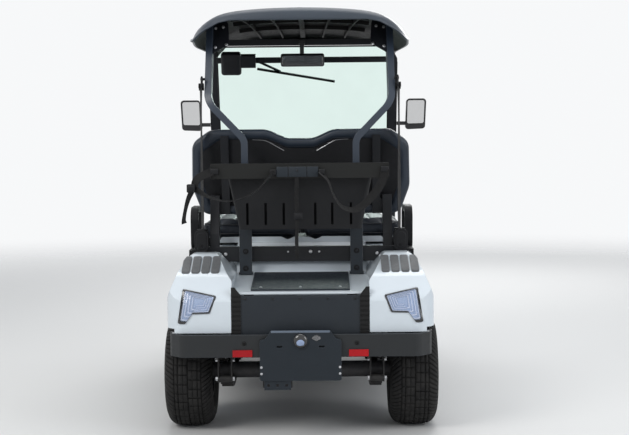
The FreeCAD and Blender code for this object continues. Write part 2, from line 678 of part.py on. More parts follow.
node("chassis_frame", fuse("chassis_frame", main_rail, mirrored("main_rail_left", main_rail),
                           nose_rail, mirrored("nose_rail_left", nose_rail), well_post,
                           mirrored("well_post_left", well_post), *cross_members, *bearers))


# Rear axle and motor


half_tube = "hub_face_x - face_clearance - axle_flange_thick"
rear_tube = rod("rear_tube", ("-(%s)" % half_tube, "rear_axle_y", "axle_z"),
                "axle_tube_radius", "2 * (%s)" % half_tube, "x")
rear_shaft = rod("rear_shaft", ("-hub_face_x - rim_disc_thick - 4", "rear_axle_y", "axle_z"),
                 "shaft_radius", "2 * (hub_face_x + rim_disc_thick + 4)", "x")
drum = rod("rear_drum", (half_tube, "rear_axle_y", "axle_z"),
           "axle_flange_radius", "axle_flange_thick", "x")
gearcase = rod("gearcase", ("gearcase_x - gearcase_wide / 2", "rear_axle_y", "axle_z"),
               "gearcase_radius", "gearcase_wide", "x")
node("rear_axle", fuse("rear_axle", rear_tube, rear_shaft, drum, mirrored("rear_drum_left", drum),
                       gearcase))
motor_ahead = "sqrt((gearcase_radius + motor_radius + seat_gap)^2 - motor_up^2)"
node("drive_motor", rod("drive_motor", ("gearcase_x + gearcase_wide / 2 - motor_length / 2",
                                        "rear_axle_y + " + motor_ahead, "axle_z + motor_up"),
                        "motor_radius", "motor_length", "x"))


# Front axle, knuckles and tie rod


beam_reach = "kingpin_x - eye_radius / 2"
beam = block("axle_beam", ("-(%s)" % beam_reach, "front_axle_y - beam_tall / 2", "axle_z - beam_tall / 2"),
             ("2 * (%s)" % beam_reach, "beam_tall", "beam_tall"))
eye = rod("kingpin_eye", ("kingpin_x", "front_axle_y", "axle_z - eye_tall / 2"),
          "eye_radius", "eye_tall")
eye_bore = rod("kingpin_bore", ("kingpin_x", "front_axle_y", "axle_z - eye_tall / 2 - 1"),
               "kingpin_radius + shaft_clearance", "eye_tall + 2")
node("front_axle_beam", cut("front_axle_beam",
                            fuse("beam_with_eyes", beam, eye, mirrored("kingpin_eye_left", eye)),
                            eye_bore, mirrored("kingpin_bore_left", eye_bore)))

ear_low_z = "axle_z - eye_tall / 2 - face_clearance - ear_tall"
ear_high_z = "axle_z + eye_tall / 2 + face_clearance"
yoke_x = "kingpin_x + eye_radius + 5"
knuckle_pieces = [
    rod("ear_low", ("kingpin_x", "front_axle_y", ear_low_z), "eye_radius + 2", "ear_tall"),
    rod("ear_high", ("kingpin_x", "front_axle_y", ear_high_z), "eye_radius + 2", "ear_tall"),
    rod("kingpin", ("kingpin_x", "front_axle_y", ear_low_z), "kingpin_radius",
        "eye_tall + 2 * face_clearance + 2 * ear_tall"),
    block("ear_web_low", ("kingpin_x", "front_axle_y - eye_radius", ear_low_z),
          ("eye_radius + 10", "2 * eye_radius", "ear_tall")),
    block("ear_web_high", ("kingpin_x", "front_axle_y - eye_radius", ear_high_z),
          ("eye_radius + 10", "2 * eye_radius", "ear_tall")),
    block("yoke", (yoke_x, "front_axle_y - eye_radius", ear_low_z),
          ("14", "2 * eye_radius", "eye_tall + 2 * face_clearance + 2 * ear_tall")),
    rod("spindle", (yoke_x, "front_axle_y", "axle_z"), "shaft_radius",
        "hub_face_x + rim_disc_thick + 4 - (%s)" % yoke_x, "x"),
    rod("spindle_collar", (yoke_x, "front_axle_y", "axle_z"), "shaft_radius + 12",
        "hub_face_x - face_clearance - (%s)" % yoke_x, "x"),
]
arm_pin = ("kingpin_x", "front_axle_y - steer_arm")
arm_outline = [
    ("kingpin_x - 16", "front_axle_y - 4"), ("kingpin_x - 14", "front_axle_y - steer_arm"),
    ("kingpin_x", "front_axle_y - steer_arm - 14"),
    ("kingpin_x + 14", "front_axle_y - steer_arm"),
    ("kingpin_x + 8", "front_axle_y - 18"), ("kingpin_x + 8", "front_axle_y - 4")]
knuckle_pieces.append(padded("steer_arm_plate", "plan", [arm_outline], ear_low_z, "ear_tall"))
knuckle_pieces.append(rod("arm_pin", arm_pin + ("axle_z - eye_tall / 2 - face_clearance - 1",),
                          "7", "30"))
knuckle = fuse("knuckle_right", *knuckle_pieces)
node("knuckle_right", knuckle)
node("knuckle_left", mirrored("knuckle_left", knuckle))

tie_end = rod("tie_end", arm_pin + ("axle_z - eye_tall / 2",), "17", "2 * tie_rod_radius")
tie_bore = rod("tie_bore", arm_pin + ("axle_z - eye_tall / 2 - 1",),
               "7 + shaft_clearance", "2 * tie_rod_radius + 2")
tie_bar = rod("tie_bar", ("-kingpin_x", "front_axle_y - steer_arm",
                          "axle_z - eye_tall / 2 + tie_rod_radius"),
              "tie_rod_radius", "2 * kingpin_x", "x")
node("tie_rod", cut("tie_rod", fuse("tie_rod_solid", tie_bar, tie_end, mirrored("tie_end_left", tie_end)),
                    tie_bore, mirrored("tie_bore_left", tie_bore)))


# Leaf springs and shackles


def leaf_spring(x, y_mid, half, eye_z, low_z, leaves):
    """Curved leaves, each shorter than the one above, with an eye at both ends of the longest."""
    wide, thick = size.spring_wide, size.leaf_thick
    drop = eye_z - low_z - thick * (leaves - 1)
    radius = (half * half + drop * drop) / (2 * drop)
    shapes = []
    for leaf in range(leaves):
        reach = half * (1 - 0.24 * leaf)
        bottom = low_z + thick * (leaves - 1 - leaf)
        inner = radius + thick * leaf
        angle = math.asin(reach / (radius + thick * leaf))
        centre = Vector(x - wide / 2, y_mid, bottom + thick + inner)
        curve = []
        for ring in (inner, inner + thick):
            ends = [centre + Vector(0, s * ring * math.sin(angle), -ring * math.cos(angle)) for s in (-1, 1)]
            curve.append((ends[0], centre + Vector(0, 0, -ring), ends[1]))
        (a0, a1, a2), (b0, b1, b2) = curve
        wire = Part.Wire([Part.Arc(a0, a1, a2).toShape(), Part.LineSegment(a2, b2).toShape(),
                          Part.Arc(b2, b1, b0).toShape(), Part.LineSegment(b0, a0).toShape()])
        shapes.append(Part.Face(wire).extrude(Vector(wide, 0, 0)))
    for end in (-1, 1):
        shapes.append(Part.makeCylinder(size.spring_eye_radius, wide,
                                        Vector(x - wide / 2, y_mid + end * half, eye_z + 4), X_AXIS))
    return shapes[0].multiFuse(shapes[1:])


rear_spring = leaf_spring(rail_x, size.rear_axle_y, size.spring_half,
                          size.spring_eye_z, size.spring_low_z, 3)
axle_seat = boxed((rail_x - 30, size.rear_axle_y - 42, size.spring_low_z + 3 * size.leaf_thick - 2),
                  (rail_x + 30, size.rear_axle_y + 42, axle_z - size.axle_tube_radius + 6))
axle_hole = Part.makeCylinder(size.axle_tube_radius + size.seat_gap, 100,
                              Vector(rail_x - 50, size.rear_axle_y, axle_z), X_AXIS)
rear_spring = rear_spring.fuse(axle_seat.cut(axle_hole))
front_eye_z = size.rail_high_z - size.spring_eye_radius - size.seat_gap - 4
front_spring = leaf_spring(size.front_spring_x, front_axle_y, size.front_spring_half,
                           front_eye_z, axle_z + size.beam_tall / 2 + size.seat_gap, 2)
node("leaf_springs", made("leaf_springs", Part.makeCompound(
    [rear_spring, mirror_x(rear_spring), front_spring, mirror_x(front_spring)])))


def shackle(x, y, eye_z, wide):
    """Two plates from a spring's eye up to the rail, each with a bolt's head at both ends."""
    thick, high_z = size.shackle_plate, size.rail_high_z
    shapes = []
    for side in (-1, 1):
        face = x + side * (wide / 2 + size.face_clearance + thick / 2)
        corners = [(y - 17, eye_z - 17), (y + 17, eye_z - 17), (y + 17, high_z), (y - 17, high_z)]
        plate = prism("side", corners, [16, 16, 4, 4], face - thick / 2, face + thick / 2)
        start = face if side > 0 else face - thick / 2 - size.shackle_bolt
        heads = [Part.makeCylinder(8, thick / 2 + size.shackle_bolt, Vector(start, y, z), X_AXIS)
                 for z in (eye_z, high_z - 13)]
        shapes.append(plate.multiFuse(heads))
    return shapes


shackle_shapes = []
for y, eye_z in ((size.rear_axle_y - size.spring_half, size.spring_eye_z + 4),
                 (size.rear_axle_y + size.spring_half, size.spring_eye_z + 4)):
    shackle_shapes += shackle(rail_x, y, eye_z, size.spring_wide)
node("spring_shackles", made("spring_shackles", Part.makeCompound(
    shackle_shapes + [mirror_x(shape) for shape in shackle_shapes])))

node("battery_pack", block("battery_pack",
                           ("-battery_wide / 2", "battery_rear_y", "rail_low_z + rail_tall + seat_gap"),
                           ("battery_wide", "battery_long", "battery_tall")))


# Rear body


def fender_hull(grow):
    """A rear fender's outer form on the right side, as three outlines crossed."""
    front = [(fender_in_x, size.body_low_z), (size.fender_out_x, size.body_low_z),
             (size.fender_out_x - size.fender_hip_in, size.fender_hip_z),
             (size.fender_cheek_x, size.fender_cheek_z), (size.fender_top_out, size.fender_top_z),
             (size.fender_top_in, size.fender_top_z), (fender_in_x, size.fender_shoulder_z)]
    front_rounds = [0, 0, 200, 120, 50, 26, 24]
    top, low = size.fender_top_z, size.body_low_z
    rear, ahead = size.body_rear_y, size.body_front_y
    bar_seat = size.seat_rail_low_z - size.seat_gap
    side = [(rear, low), (rear - 2, 600), (-1085, 705), (-905, top), (-815, top), (-752, bar_seat),
            (ahead - 60, bar_seat), (ahead, 640), (ahead + 60, size.floor_z), (-560, size.floor_z),
            (-600, low)]
    side_rounds = [0, 60, 90, 120, 40, 20, 60, 80, 0, 0, 0]
    plan = [(fender_in_x, rear), (size.fender_out_x - 16, rear),
            (size.fender_out_x, rear + 260), (size.fender_out_x, ahead + 60),
            (fender_in_x, ahead + 60)]
    plan_rounds = [0, 70, 200, 0, 0]
    return prism("side", side, side_rounds, 100, 700, grow).common(
        prism("plan", plan, plan_rounds, 200, 1000, grow)).common(
        prism("front", [(x, z if z > low else size.floor_z - 20) for x, z in front],
              front_rounds, -1400, 0, grow))


fender_full = fender_hull(0.0)
fender_inside = fender_hull(-size.body_wall)
arch = Part.makeCylinder(size.arch_radius, 500,
                         Vector(fender_in_x + size.body_wall, size.rear_axle_y, axle_z), X_AXIS)
open_below = boxed((fender_in_x + size.body_wall, size.body_rear_y + size.body_wall, 200),
                   (size.fender_out_x - size.body_wall, size.body_front_y, size.body_low_z + 20))
fender_shell = fender_full.cut(fender_inside)
seat_room = boxed((0, size.deck_rear_y + 31, 300),
                  (size.seat_box_half + size.seat_gap, 0, size.deck_z))
fender_shell = fender_shell.cut(open_below).cut(arch).cut(seat_room)

well_in = fender_in_x
wall = size.body_wall
well_rear_y = size.body_rear_y + 18
floor_rear_z = size.well_floor_rear_z
floor_front_z = floor_rear_z + size.well_floor_rise
well_side = [
    (well_rear_y, floor_rear_z), (size.well_front_y, floor_front_z),
    (size.deck_rear_y, size.deck_z - wall), (size.deck_rear_y + 30, size.deck_z - wall),
    (size.deck_rear_y + 30, size.deck_z), (size.deck_rear_y - 8, size.deck_z),
    (size.well_front_y - 8, floor_front_z + wall), (well_rear_y, floor_rear_z + wall)]
well_tray = prism("side", well_side, 0, -well_in - 2, well_in + 2)
# The body's raised edge behind the cushions, half of it from the middle outward: across, up
lip_right = [(38, 24), (64, 12), (95, 26), (372, 26), (385, -1)]
lip_corners = [(x, size.deck_z + up) for x, up in lip_right]
lip_corners = [(-x, z) for x, z in reversed(lip_corners)] + lip_corners
deck_lip = prism("front", lip_corners, [0, 10, 14, 14, 14, 14, 14, 14, 10, 0],
                 size.deck_rear_y + 6, size.deck_rear_y + 6 + size.deck_lip_thick)
rear_body = fender_shell.multiFuse([mirror_x(fender_shell), well_tray, deck_lip])
node("rear_body", made("rear_body", rear_body))


# Bag well panels


panel_rear_y = well_rear_y
valance_half = fender_in_x - size.trim_wide
valance_low_z, valance_top_z = size.body_low_z - 6, floor_rear_z - 4
valance = boxed((-valance_half, panel_rear_y - 12, valance_low_z),
                (valance_half, panel_rear_y - size.seat_gap, valance_top_z))
trim_in, trim_out = valance_half + size.seat_gap, well_in - size.seat_gap
trim_top_z = valance_top_z + size.trim_rise
trim = prism("front", [(trim_in, valance_low_z), (trim_out, valance_low_z), (trim_out, trim_top_z),
                       (trim_out - 14, trim_top_z), (trim_in, valance_top_z)],
             0, panel_rear_y - 17, panel_rear_y - size.seat_gap)
trim_step = (valance_top_z - valance_low_z) / size.trim_rib_count
for index in range(int(size.trim_rib_count)):
    groove_z = valance_low_z + (index + 0.6) * trim_step
    trim = trim.cut(boxed((valance_half, panel_rear_y - 18, groove_z),
                          (well_in, panel_rear_y - 12, groove_z + trim_step * 0.4)))
floor_slope = size.well_floor_rise / (size.well_front_y - 8 - well_rear_y)


def well_top(y):
    """Top of the bag well's floor at a place along the cart."""
    return floor_rear_z + wall + (y - well_rear_y) * floor_slope


mat_rear_y, mat_front_y = well_rear_y + 22, size.well_front_y - 40
mat_half = fender_in_x - size.mat_in
mat = prism("side", [(mat_rear_y, well_top(mat_rear_y) + size.seat_gap),
                     (mat_front_y, well_top(mat_front_y) + size.seat_gap),
                     (mat_front_y, well_top(mat_front_y) + size.mat_thick),
                     (mat_rear_y, well_top(mat_rear_y) + size.mat_thick)], 0, -mat_half, mat_half)
node("bag_well_panels", made("bag_well_panels", Part.makeCompound([valance, trim, mirror_x(trim), mat])))


# Seat box, floor and sills


box_rear_y = size.deck_rear_y + 32
box_low_z = size.floor_z + size.floor_thick
box_step_y = size.kick_rear_y + size.kick_run + 15
seat_side = [
    (box_rear_y, size.rail_high_z + size.rail_tall + 8), (box_step_y, size.rail_high_z + size.rail_tall + 8),
    (box_step_y, box_low_z), (size.seat_box_front_y - size.seat_box_heel, box_low_z),
    (size.seat_box_front_y, size.deck_z - size.lid_thick), (box_rear_y, size.deck_z - size.lid_thick)]
seat_outer = prism("side", seat_side, 0, -size.seat_box_half, size.seat_box_half)
seat_inner_side = [
    (box_rear_y + wall, box_low_z - 40),
    (size.seat_box_front_y - size.seat_box_heel - wall - 8, box_low_z - 40),
    (size.seat_box_front_y - wall + 6, size.deck_z + 20), (box_rear_y + wall, size.deck_z + 20)]
seat_inner = prism("side", seat_inner_side, 0, -size.seat_box_half + wall, size.seat_box_half - wall)
node("seat_box", made("seat_box", seat_outer.cut(seat_inner)))

floor_front_y = front_axle_y - size.front_arch_radius - 4
toe_foot_y = floor_front_y - 4
floor_side = [
    (box_step_y, size.floor_z), (toe_foot_y, size.floor_z),
    (toe_foot_y + size.toe_run, size.floor_z + size.toe_rise),
    (toe_foot_y + size.toe_run - 8, size.floor_z + size.toe_rise + 8),
    (toe_foot_y - 8, box_low_z), (box_step_y, box_low_z)]
floor_shape = prism("side", floor_side, 0, -size.floor_half, size.floor_half)
rear_notch = boxed((-700, -1000, size.floor_z - 10), (-size.seat_box_half, size.body_front_y + 70, 420))
battery_room = boxed((-size.seat_box_half + 22, box_step_y - 10, size.floor_z - 10),
                     (size.seat_box_half - 22, size.battery_rear_y + size.battery_long + 4, box_low_z + 10))
sill = boxed((size.floor_half - size.sill_wide, size.body_front_y + 72, size.floor_z - size.sill_tall),
             (size.floor_half, floor_front_y - 30, size.floor_z + 2))
# The dash's underside, which the toe board meets
dash_rear_y, dash_front_y = size.screen_foot_y - 185, size.screen_foot_y - 22
dash_top_z = size.cowl_top_z - 18
dash_chin = Vector(0, dash_rear_y, dash_top_z - 180)
dash_heel = Vector(0, dash_front_y - 30, dash_top_z - 245)
dash_room = prism("side", [(dash_chin.y, dash_chin.z - 1), (dash_heel.y, dash_heel.z - 1),
                           (dash_heel.y, dash_top_z), (dash_chin.y, dash_top_z)], 0, -700, 700)
floor_shape = floor_shape.cut(rear_notch).cut(mirror_x(rear_notch)).cut(battery_room).cut(dash_room)
node("floor_pan", made("floor_pan", floor_shape.multiFuse([sill, mirror_x(sill)])))


# Front cowl


def cowl_plan(rear):
    """The cowl's outline from above, with its rounds."""
    half, nose = size.cowl_half, size.cowl_nose_y
    right = [(half, rear), (half, front_axle_y + 60), (half - 90, nose - 70)]
    corners = right + [(0, nose + 12)] + [(-across, y) for across, y in reversed(right)]
    return corners, [0, 260, 120, 1300, 120, 260, 0]


def cowl_hull(grow, back=0.0):
    """The cowl's outer form from three crossed outlines; back carries it on to the rear."""
    half, top, low = size.cowl_half, size.cowl_top_z, size.cowl_low_z
    right = [(half, low - 40), (half - 4, 640), (half - 66, top - 66)]
    front = right + [(0, top + 14)] + [(-across, up) for across, up in reversed(right)]
    rear, nose = size.cowl_rear_y - back, size.cowl_nose_y
    side = [(rear, low - 40), (nose, low - 40), (nose + 6, 610), (nose - 60, size.cowl_nose_z + 40),
            (size.screen_foot_y + 40, top + 6), (size.screen_foot_y - 50, top + 6), (rear + 50, 800),
            (rear, 700)]
    side_rounds = [0, 0, 90, 110, 160, 20, 60, 30]
    plan, plan_rounds = cowl_plan(rear)
    return prism("side", side, side_rounds, -700, 700, grow).common(
        prism("plan", plan, plan_rounds, 200, 1100, grow)).common(
        prism("front", front, [0, 120, 110, 900, 110, 120, 0], 300, 1400, grow))


cowl_full = cowl_hull(0.0)
cowl_inside = cowl_hull(-size.body_wall, size.cowl_open_back)
front_arch = Part.makeCylinder(size.front_arch_radius, 1400, Vector(-700, front_axle_y, axle_z), X_AXIS)
below = boxed((-700, 0, 300), (700, 1300, size.cowl_low_z))
cowl = cowl_full.cut(cowl_inside).cut(front_arch).cut(below)
# What fits inside the cowl keeps clear of this skin
cowl_fit = cowl_hull(-size.body_wall - size.seat_gap, size.cowl_open_back)
floor_piece = doc.getObject("floor_pan")
floor_piece.Shape = floor_piece.Shape.cut(cowl_full.cut(cowl_fit))
node("front_cowl", made("front_cowl", cowl))

liner_out = size.cowl_half - size.body_wall - size.seat_gap
liner_low_z = size.cowl_low_z + 4
liner_radius = size.front_arch_radius + size.liner_thick
liner = Part.makeCylinder(liner_radius, liner_out - size.liner_in_x,
                          Vector(size.liner_in_x, front_axle_y, axle_z), X_AXIS)
liner_hollow = Part.makeCylinder(size.front_arch_radius, liner_out - size.liner_in_x,
                                 Vector(size.liner_in_x + size.liner_thick, front_axle_y, axle_z), X_AXIS)
liner_below = boxed((0, 300, -100), (700, 1300, liner_low_z))
liner = liner.cut(liner_hollow).cut(liner_below).common(cowl_fit)
node("arch_liners", made("arch_liners", pair(liner)))


# Dash


dash_side = [(dash_chin.y, dash_chin.z), (dash_heel.y, dash_heel.z), (dash_front_y, dash_top_z - 200),
             (dash_front_y, dash_top_z), (dash_rear_y + 50, dash_top_z - 10),
             (dash_rear_y + 12, dash_top_z - 60)]
dash = prism("side", dash_side, [20, 0, 0, 0, 40, 30], -size.cowl_half, size.cowl_half)
dash = dash.common(cowl_fit)
tilt = math.radians(size.steer_tilt)
column_out = Vector(0, -math.cos(tilt), math.sin(tilt))
steer_middle = Vector(size.steer_x, size.steer_y, size.steer_z)
column_start = steer_middle - column_out * (size.column_length + 40)
dash = dash.cut(Part.makeCylinder(size.column_radius + size.seat_gap, 900,
                                  steer_middle - column_out * 900, column_out))
pocket_low_z = dash_top_z - 152
for x in (size.pocket_x, size.pocket_x + size.pocket_step):
    dash = dash.cut(boxed((x - size.pocket_wide / 2, dash_rear_y - 20, pocket_low_z),
                          (x + size.pocket_wide / 2, dash_rear_y + size.pocket_deep,
                           pocket_low_z + size.pocket_tall)))
node("dash", made("dash", dash))


# Bumpers and plate bracket


def wrap_bumper(half, face_y, back_y, low_z, tall, round_in, wall_thick):
    """A bar across the end of the cart that wraps round its sides, open to the middle."""
    toward = 1 if back_y > face_y else -1
    points = [(-half, back_y), (-half + 6, face_y + toward * 60), (-half + 60, face_y),
              (half - 60, face_y), (half - 6, face_y + toward * 60), (half, back_y)]
    outer = prism("plan", points, [0, round_in, round_in, round_in, round_in, 0], low_z, low_z + tall)
    inner = prism("plan", [(-half + wall_thick, back_y + toward * 20),
                           (-half + 6 + wall_thick, face_y + toward * (60 + wall_thick * 0.4)),
                           (-half + 60 + wall_thick * 0.4, face_y + toward * wall_thick),
                           (half - 60 - wall_thick * 0.4, face_y + toward * wall_thick),
                           (half - 6 - wall_thick, face_y + toward * (60 + wall_thick * 0.4)),
                           (half - wall_thick, back_y + toward * 20)],
                  [0, round_in, round_in, round_in, round_in, 0], low_z - 5, low_z + tall + 5)
    return outer.cut(inner)


rear_bumper = wrap_bumper(size.bumper_half, size.bumper_rear_y, size.bumper_rear_y + size.bumper_side,
                          size.bumper_low_z, size.bumper_tall, 40, size.bumper_wall)
brackets = [boxed((rail_x - 22, size.bumper_rear_y + size.bumper_wall, size.rail_high_z + 6),
                  (rail_x + 22, size.rail_rear_y, size.rail_high_z + size.rail_tall - 6))]
rear_bumper = rear_bumper.multiFuse(brackets + [mirror_x(brackets[0])])
node("rear_bumper", made("rear_bumper", rear_bumper))

plate_y = size.bumper_rear_y
plate_top_z = size.plate_low_z + size.plate_tall
shoulder_z, neck = size.plate_shoulder_z, size.plate_neck_half
right = [(size.plate_half, size.plate_low_z), (size.plate_half, shoulder_z), (neck + 22, shoulder_z + 4),
         (neck, plate_top_z)]
plate_corners = right + [(-across, up) for across, up in reversed(right)]
plate_face_y = plate_y - size.plate_thick
plate = prism("front", plate_corners, [8, 8, 20, 4, 4, 20, 8, 8], plate_face_y, plate_y - size.seat_gap)
plate_lip = boxed((-neck, plate_face_y, plate_top_z - 1), (neck, plate_y - 8, plate_top_z + 5))
hood, lamp_z = size.plate_lamp_radius, shoulder_z - 4
plate_lamp = Part.makeCylinder(hood, size.plate_lamp_out + 9,
                               Vector(0, plate_face_y - size.plate_lamp_out, lamp_z), Y_AXIS)
plate_lamp = plate_lamp.common(boxed((-hood, plate_y - 40, lamp_z - hood), (hood, plate_y, lamp_z + 18)))
tab_x, tab_low_z = size.hitch_hole_x, size.plate_low_z - size.hitch_tab_tall
hitch_tab = boxed((tab_x - size.hitch_tab_half, plate_y - 14, tab_low_z),
                  (tab_x + size.hitch_tab_half, plate_y - 8, size.plate_low_z + 2))
plate = plate.multiFuse([plate_lip, plate_lamp, hitch_tab])
for x in (-size.plate_slot_x, size.plate_slot_x):
    half_slot, slot_rise = size.plate_slot_wide / 2, size.plate_slot_tall / 2
    plate = plate.cut(boxed((x - half_slot, plate_y - 30, size.plate_slot_z - slot_rise),
                            (x + half_slot, plate_y + 5, size.plate_slot_z + slot_rise)))
for step in (-1, 0, 1):
    hole = Vector(tab_x + step * size.hitch_hole_step, plate_y - 30, tab_low_z + size.hitch_tab_tall / 2)
    plate = plate.cut(Part.makeCylinder(size.hitch_hole_radius, 40, hole, Y_AXIS))
node("plate_bracket", made("plate_bracket", plate))

reflector_low_z = size.bumper_low_z + size.reflector_up
reflector = boxed((size.reflector_in_x, plate_y - size.reflector_thick, reflector_low_z),
                  (size.reflector_out_x, plate_y, reflector_low_z + size.reflector_tall))
node("rear_reflectors", made("rear_reflectors", pair(reflector)))

plan, plan_rounds = cowl_plan(size.cowl_rear_y)
bumper_low_z, bumper_top_z = size.front_bumper_low_z, size.cowl_low_z - size.seat_gap
bumper_form = prism("plan", plan, plan_rounds, bumper_low_z, bumper_top_z, size.front_bumper_out)
bumper_face_y = size.front_bumper_y
bumper_corners = [(900, bumper_low_z), (bumper_face_y - 40, bumper_low_z), (bumper_face_y, bumper_low_z + 40),
                  (bumper_face_y, bumper_top_z - 26), (bumper_face_y - 14, bumper_top_z),
                  (900, bumper_top_z)]
bumper_side = prism("side", bumper_corners, [0, 24, 30, 8, 8, 0], -700, 700)
bumper_hollow = prism("plan", plan, plan_rounds, bumper_low_z - 1, bumper_top_z - size.bumper_wall,
                      -size.bumper_wall)
bumper_feet = boxed((size.nose_rail_x - 20, front_axle_y + size.nose_rail_front, size.rail_high_z + 6),
                    (size.nose_rail_x + 20, size.cowl_nose_y - 8, size.rail_high_z + size.rail_tall - 6))
front_bumper = bumper_form.common(bumper_side).cut(bumper_hollow)
front_bumper = front_bumper.multiFuse([bumper_feet, mirror_x(bumper_feet)]).cut(front_arch)
node("front_bumper", made("front_bumper", front_bumper))


# Lamps


def in_skin(hull, tool, depth_out, depth_in):
    """A piece of the body's skin inside a tool, from depth_in below it to depth_out above it."""
    return hull(depth_out).common(tool).cut(hull(-depth_in))


# Outlines of a tail lamp and a headlamp from behind: across, up
lamp_corners = [(356, 616), (500, 645), (521, 501), (490, 499), (460, 541), (385, 543)]
lamp_tool = prism("front", lamp_corners, 5, -1300, -1000)
tail_lamp = in_skin(fender_hull, lamp_tool, 3.0, size.body_wall)
head_corners = [(300, 560), (500, 590), (520, 660), (470, 680), (290, 620)]
head_tool = prism("front", head_corners, 10, 1000, 1300)
head_lamp = in_skin(cowl_hull, head_tool, 3.0, size.body_wall)
doc.getObject("rear_body").Shape = rear_body.cut(lamp_tool).cut(mirror_x(lamp_tool))
doc.getObject("front_cowl").Shape = cowl.cut(head_tool).cut(mirror_x(head_tool))
node("tail_lamps", made("tail_lamps", pair(tail_lamp)))
node("headlamps", made("headlamps", pair(head_lamp)))

pad_layer = fender_hull(size.pad_thick).cut(fender_full)
pad_step = (size.pad_out_x - size.pad_in_x + size.pad_gap) / size.pad_count
pads = []
for index in range(int(size.pad_count)):
    pad_x = size.pad_in_x + index * pad_step
    pad_end_x = pad_x + pad_step - size.pad_gap
    strip = prism("plan", [(pad_x, size.pad_rear_y), (pad_end_x, size.pad_rear_y),
                           (pad_end_x, size.pad_front_y), (pad_x, size.pad_front_y)], 9, 600, 900)
    pads.append(pad_layer.common(strip))
pads += [mirror_x(pad) for pad in pads]
node("fender_pads", made("fender_pads", Part.makeCompound(pads)))


# Seat frame, seats and seat back


rail_top_z = size.seat_rail_low_z + size.seat_rail_tall
seat_bar = boxed((-size.seat_rail_half, size.seat_rail_y, size.seat_rail_low_z),
                 (size.seat_rail_half, size.seat_rail_y + size.seat_rail_deep, rail_top_z))
lean = math.tan(math.radians(size.back_lean))


def shell_back(z):
    """Rear face of the seat back's shell at a height, less its seat gap."""
    gap = size.seat_gap / math.cos(math.radians(size.back_lean))
    return size.shell_y - (z - size.back_low_z) * lean - gap


post_top_z = size.back_low_z + 92
post_foot_z = size.back_low_z + 8
post_corners = [(size.seat_rail_y + 2, rail_top_z - 1), (size.seat_rail_y + size.seat_rail_deep, rail_top_z - 1),
                (shell_back(post_foot_z), post_foot_z), (shell_back(post_top_z), post_top_z),
                (shell_back(post_top_z) - 14, post_top_z), (size.seat_rail_y + 2, rail_top_z + 60)]
post = prism("side", post_corners, 0, seat_post_x - size.seat_post_wide / 2, seat_post_x + size.seat_post_wide / 2)
upright_top_z = size.back_top_z - 30
upright = prism("side", [(shell_back(size.back_low_z + 4), size.back_low_z + 4),
                         (shell_back(upright_top_z), upright_top_z),
                         (shell_back(upright_top_z) - 8, upright_top_z),
                         (shell_back(size.back_low_z + 4) - 8, size.back_low_z + 4)],
                0, back_bar_x - size.back_bar_wide / 2, seat_post_x)
upright = upright.cut(boxed((back_bar_x + size.back_bar_wide / 2, -900, post_top_z - 20),
                            (seat_post_x + 1, -500, 1500)))
seat_frame = seat_bar.multiFuse([post, mirror_x(post), upright, mirror_x(upright)])
node("seat_frame", made("seat_frame", seat_frame))

lid_rear_y = size.seat_box_front_y - size.cushion_long
lid = boxed((-size.seat_box_half, lid_rear_y, size.deck_z - size.lid_thick + size.face_clearance),
            (size.seat_box_half, size.seat_box_front_y + 8, size.deck_z))
hinge_y, hinge_z = size.seat_box_front_y + 8, size.deck_z - size.lid_hinge_down
half_barrel, eye_long = size.lid_hinge_long / 2, size.lid_hinge_long / 2
hinge_gap = size.face_clearance
box_eyes = []
for x in (-size.lid_hinge_x, size.lid_hinge_x):
    for eye_x in (x - half_barrel - hinge_gap - eye_long, x + half_barrel + hinge_gap):
        eye_end_x = eye_x + eye_long
        lid = lid.cut(boxed((eye_x - hinge_gap, hinge_y - 8.2, 700), (eye_end_x + hinge_gap, hinge_y + 20, 900)))
        box_eyes.append(Part.makeCylinder(size.lid_hinge_radius, eye_long,
                                          Vector(eye_x, hinge_y, hinge_z), X_AXIS))
        box_eyes.append(boxed((eye_x, hinge_y - 14, hinge_z - 24), (eye_end_x, hinge_y + 4, hinge_z - 7.4)))
        box_eyes.append(boxed((eye_x, hinge_y - 5, hinge_z - 8), (eye_end_x, hinge_y + 4, hinge_z - 2)))
    lid = lid.fuse(Part.makeCylinder(size.lid_hinge_radius, size.lid_hinge_long,
                                     Vector(x - half_barrel, hinge_y, hinge_z), X_AXIS))
node("seat_lid", made("seat_lid", lid))
seat_box_piece = doc.getObject("seat_box")
seat_box_piece.Shape = seat_box_piece.Shape.multiFuse(box_eyes)


def rounded_block(low, high, radius):
    """A soft block with all its edges rounded."""
    block_shape = boxed(low, high)
    return block_shape.makeFillet(radius, block_shape.Edges)


cushions = []
for side, sign in SIDES:
    inner, outer = size.cushion_gap / 2, size.cushion_half
    low_x, high_x = (inner, outer) if sign > 0 else (-outer, -inner)
    cushions.append(rounded_block((low_x, lid_rear_y, size.deck_z + 0.3),
                                  (high_x, lid_rear_y + size.cushion_long + 20,
                                   size.deck_z + 0.3 + size.cushion_thick), size.cushion_round))
node("seat_cushions", made("seat_cushions", Part.makeCompound(cushions)))

back_turn = Rotation(X_AXIS, size.back_lean)
back_foot = Vector(0, size.shell_y, size.back_low_z)


def leaned(shape):
    """Lean a piece of the seat back about the shell's foot."""
    shape = shape.copy()
    shape.Placement = Placement(back_foot, back_turn, Vector()).multiply(
        Placement(Vector(-back_foot.x, -back_foot.y, -back_foot.z), Rotation())).multiply(shape.Placement)
    return shape


back_tall = (size.back_top_z - size.back_low_z) / math.cos(math.radians(size.back_lean)) - 8


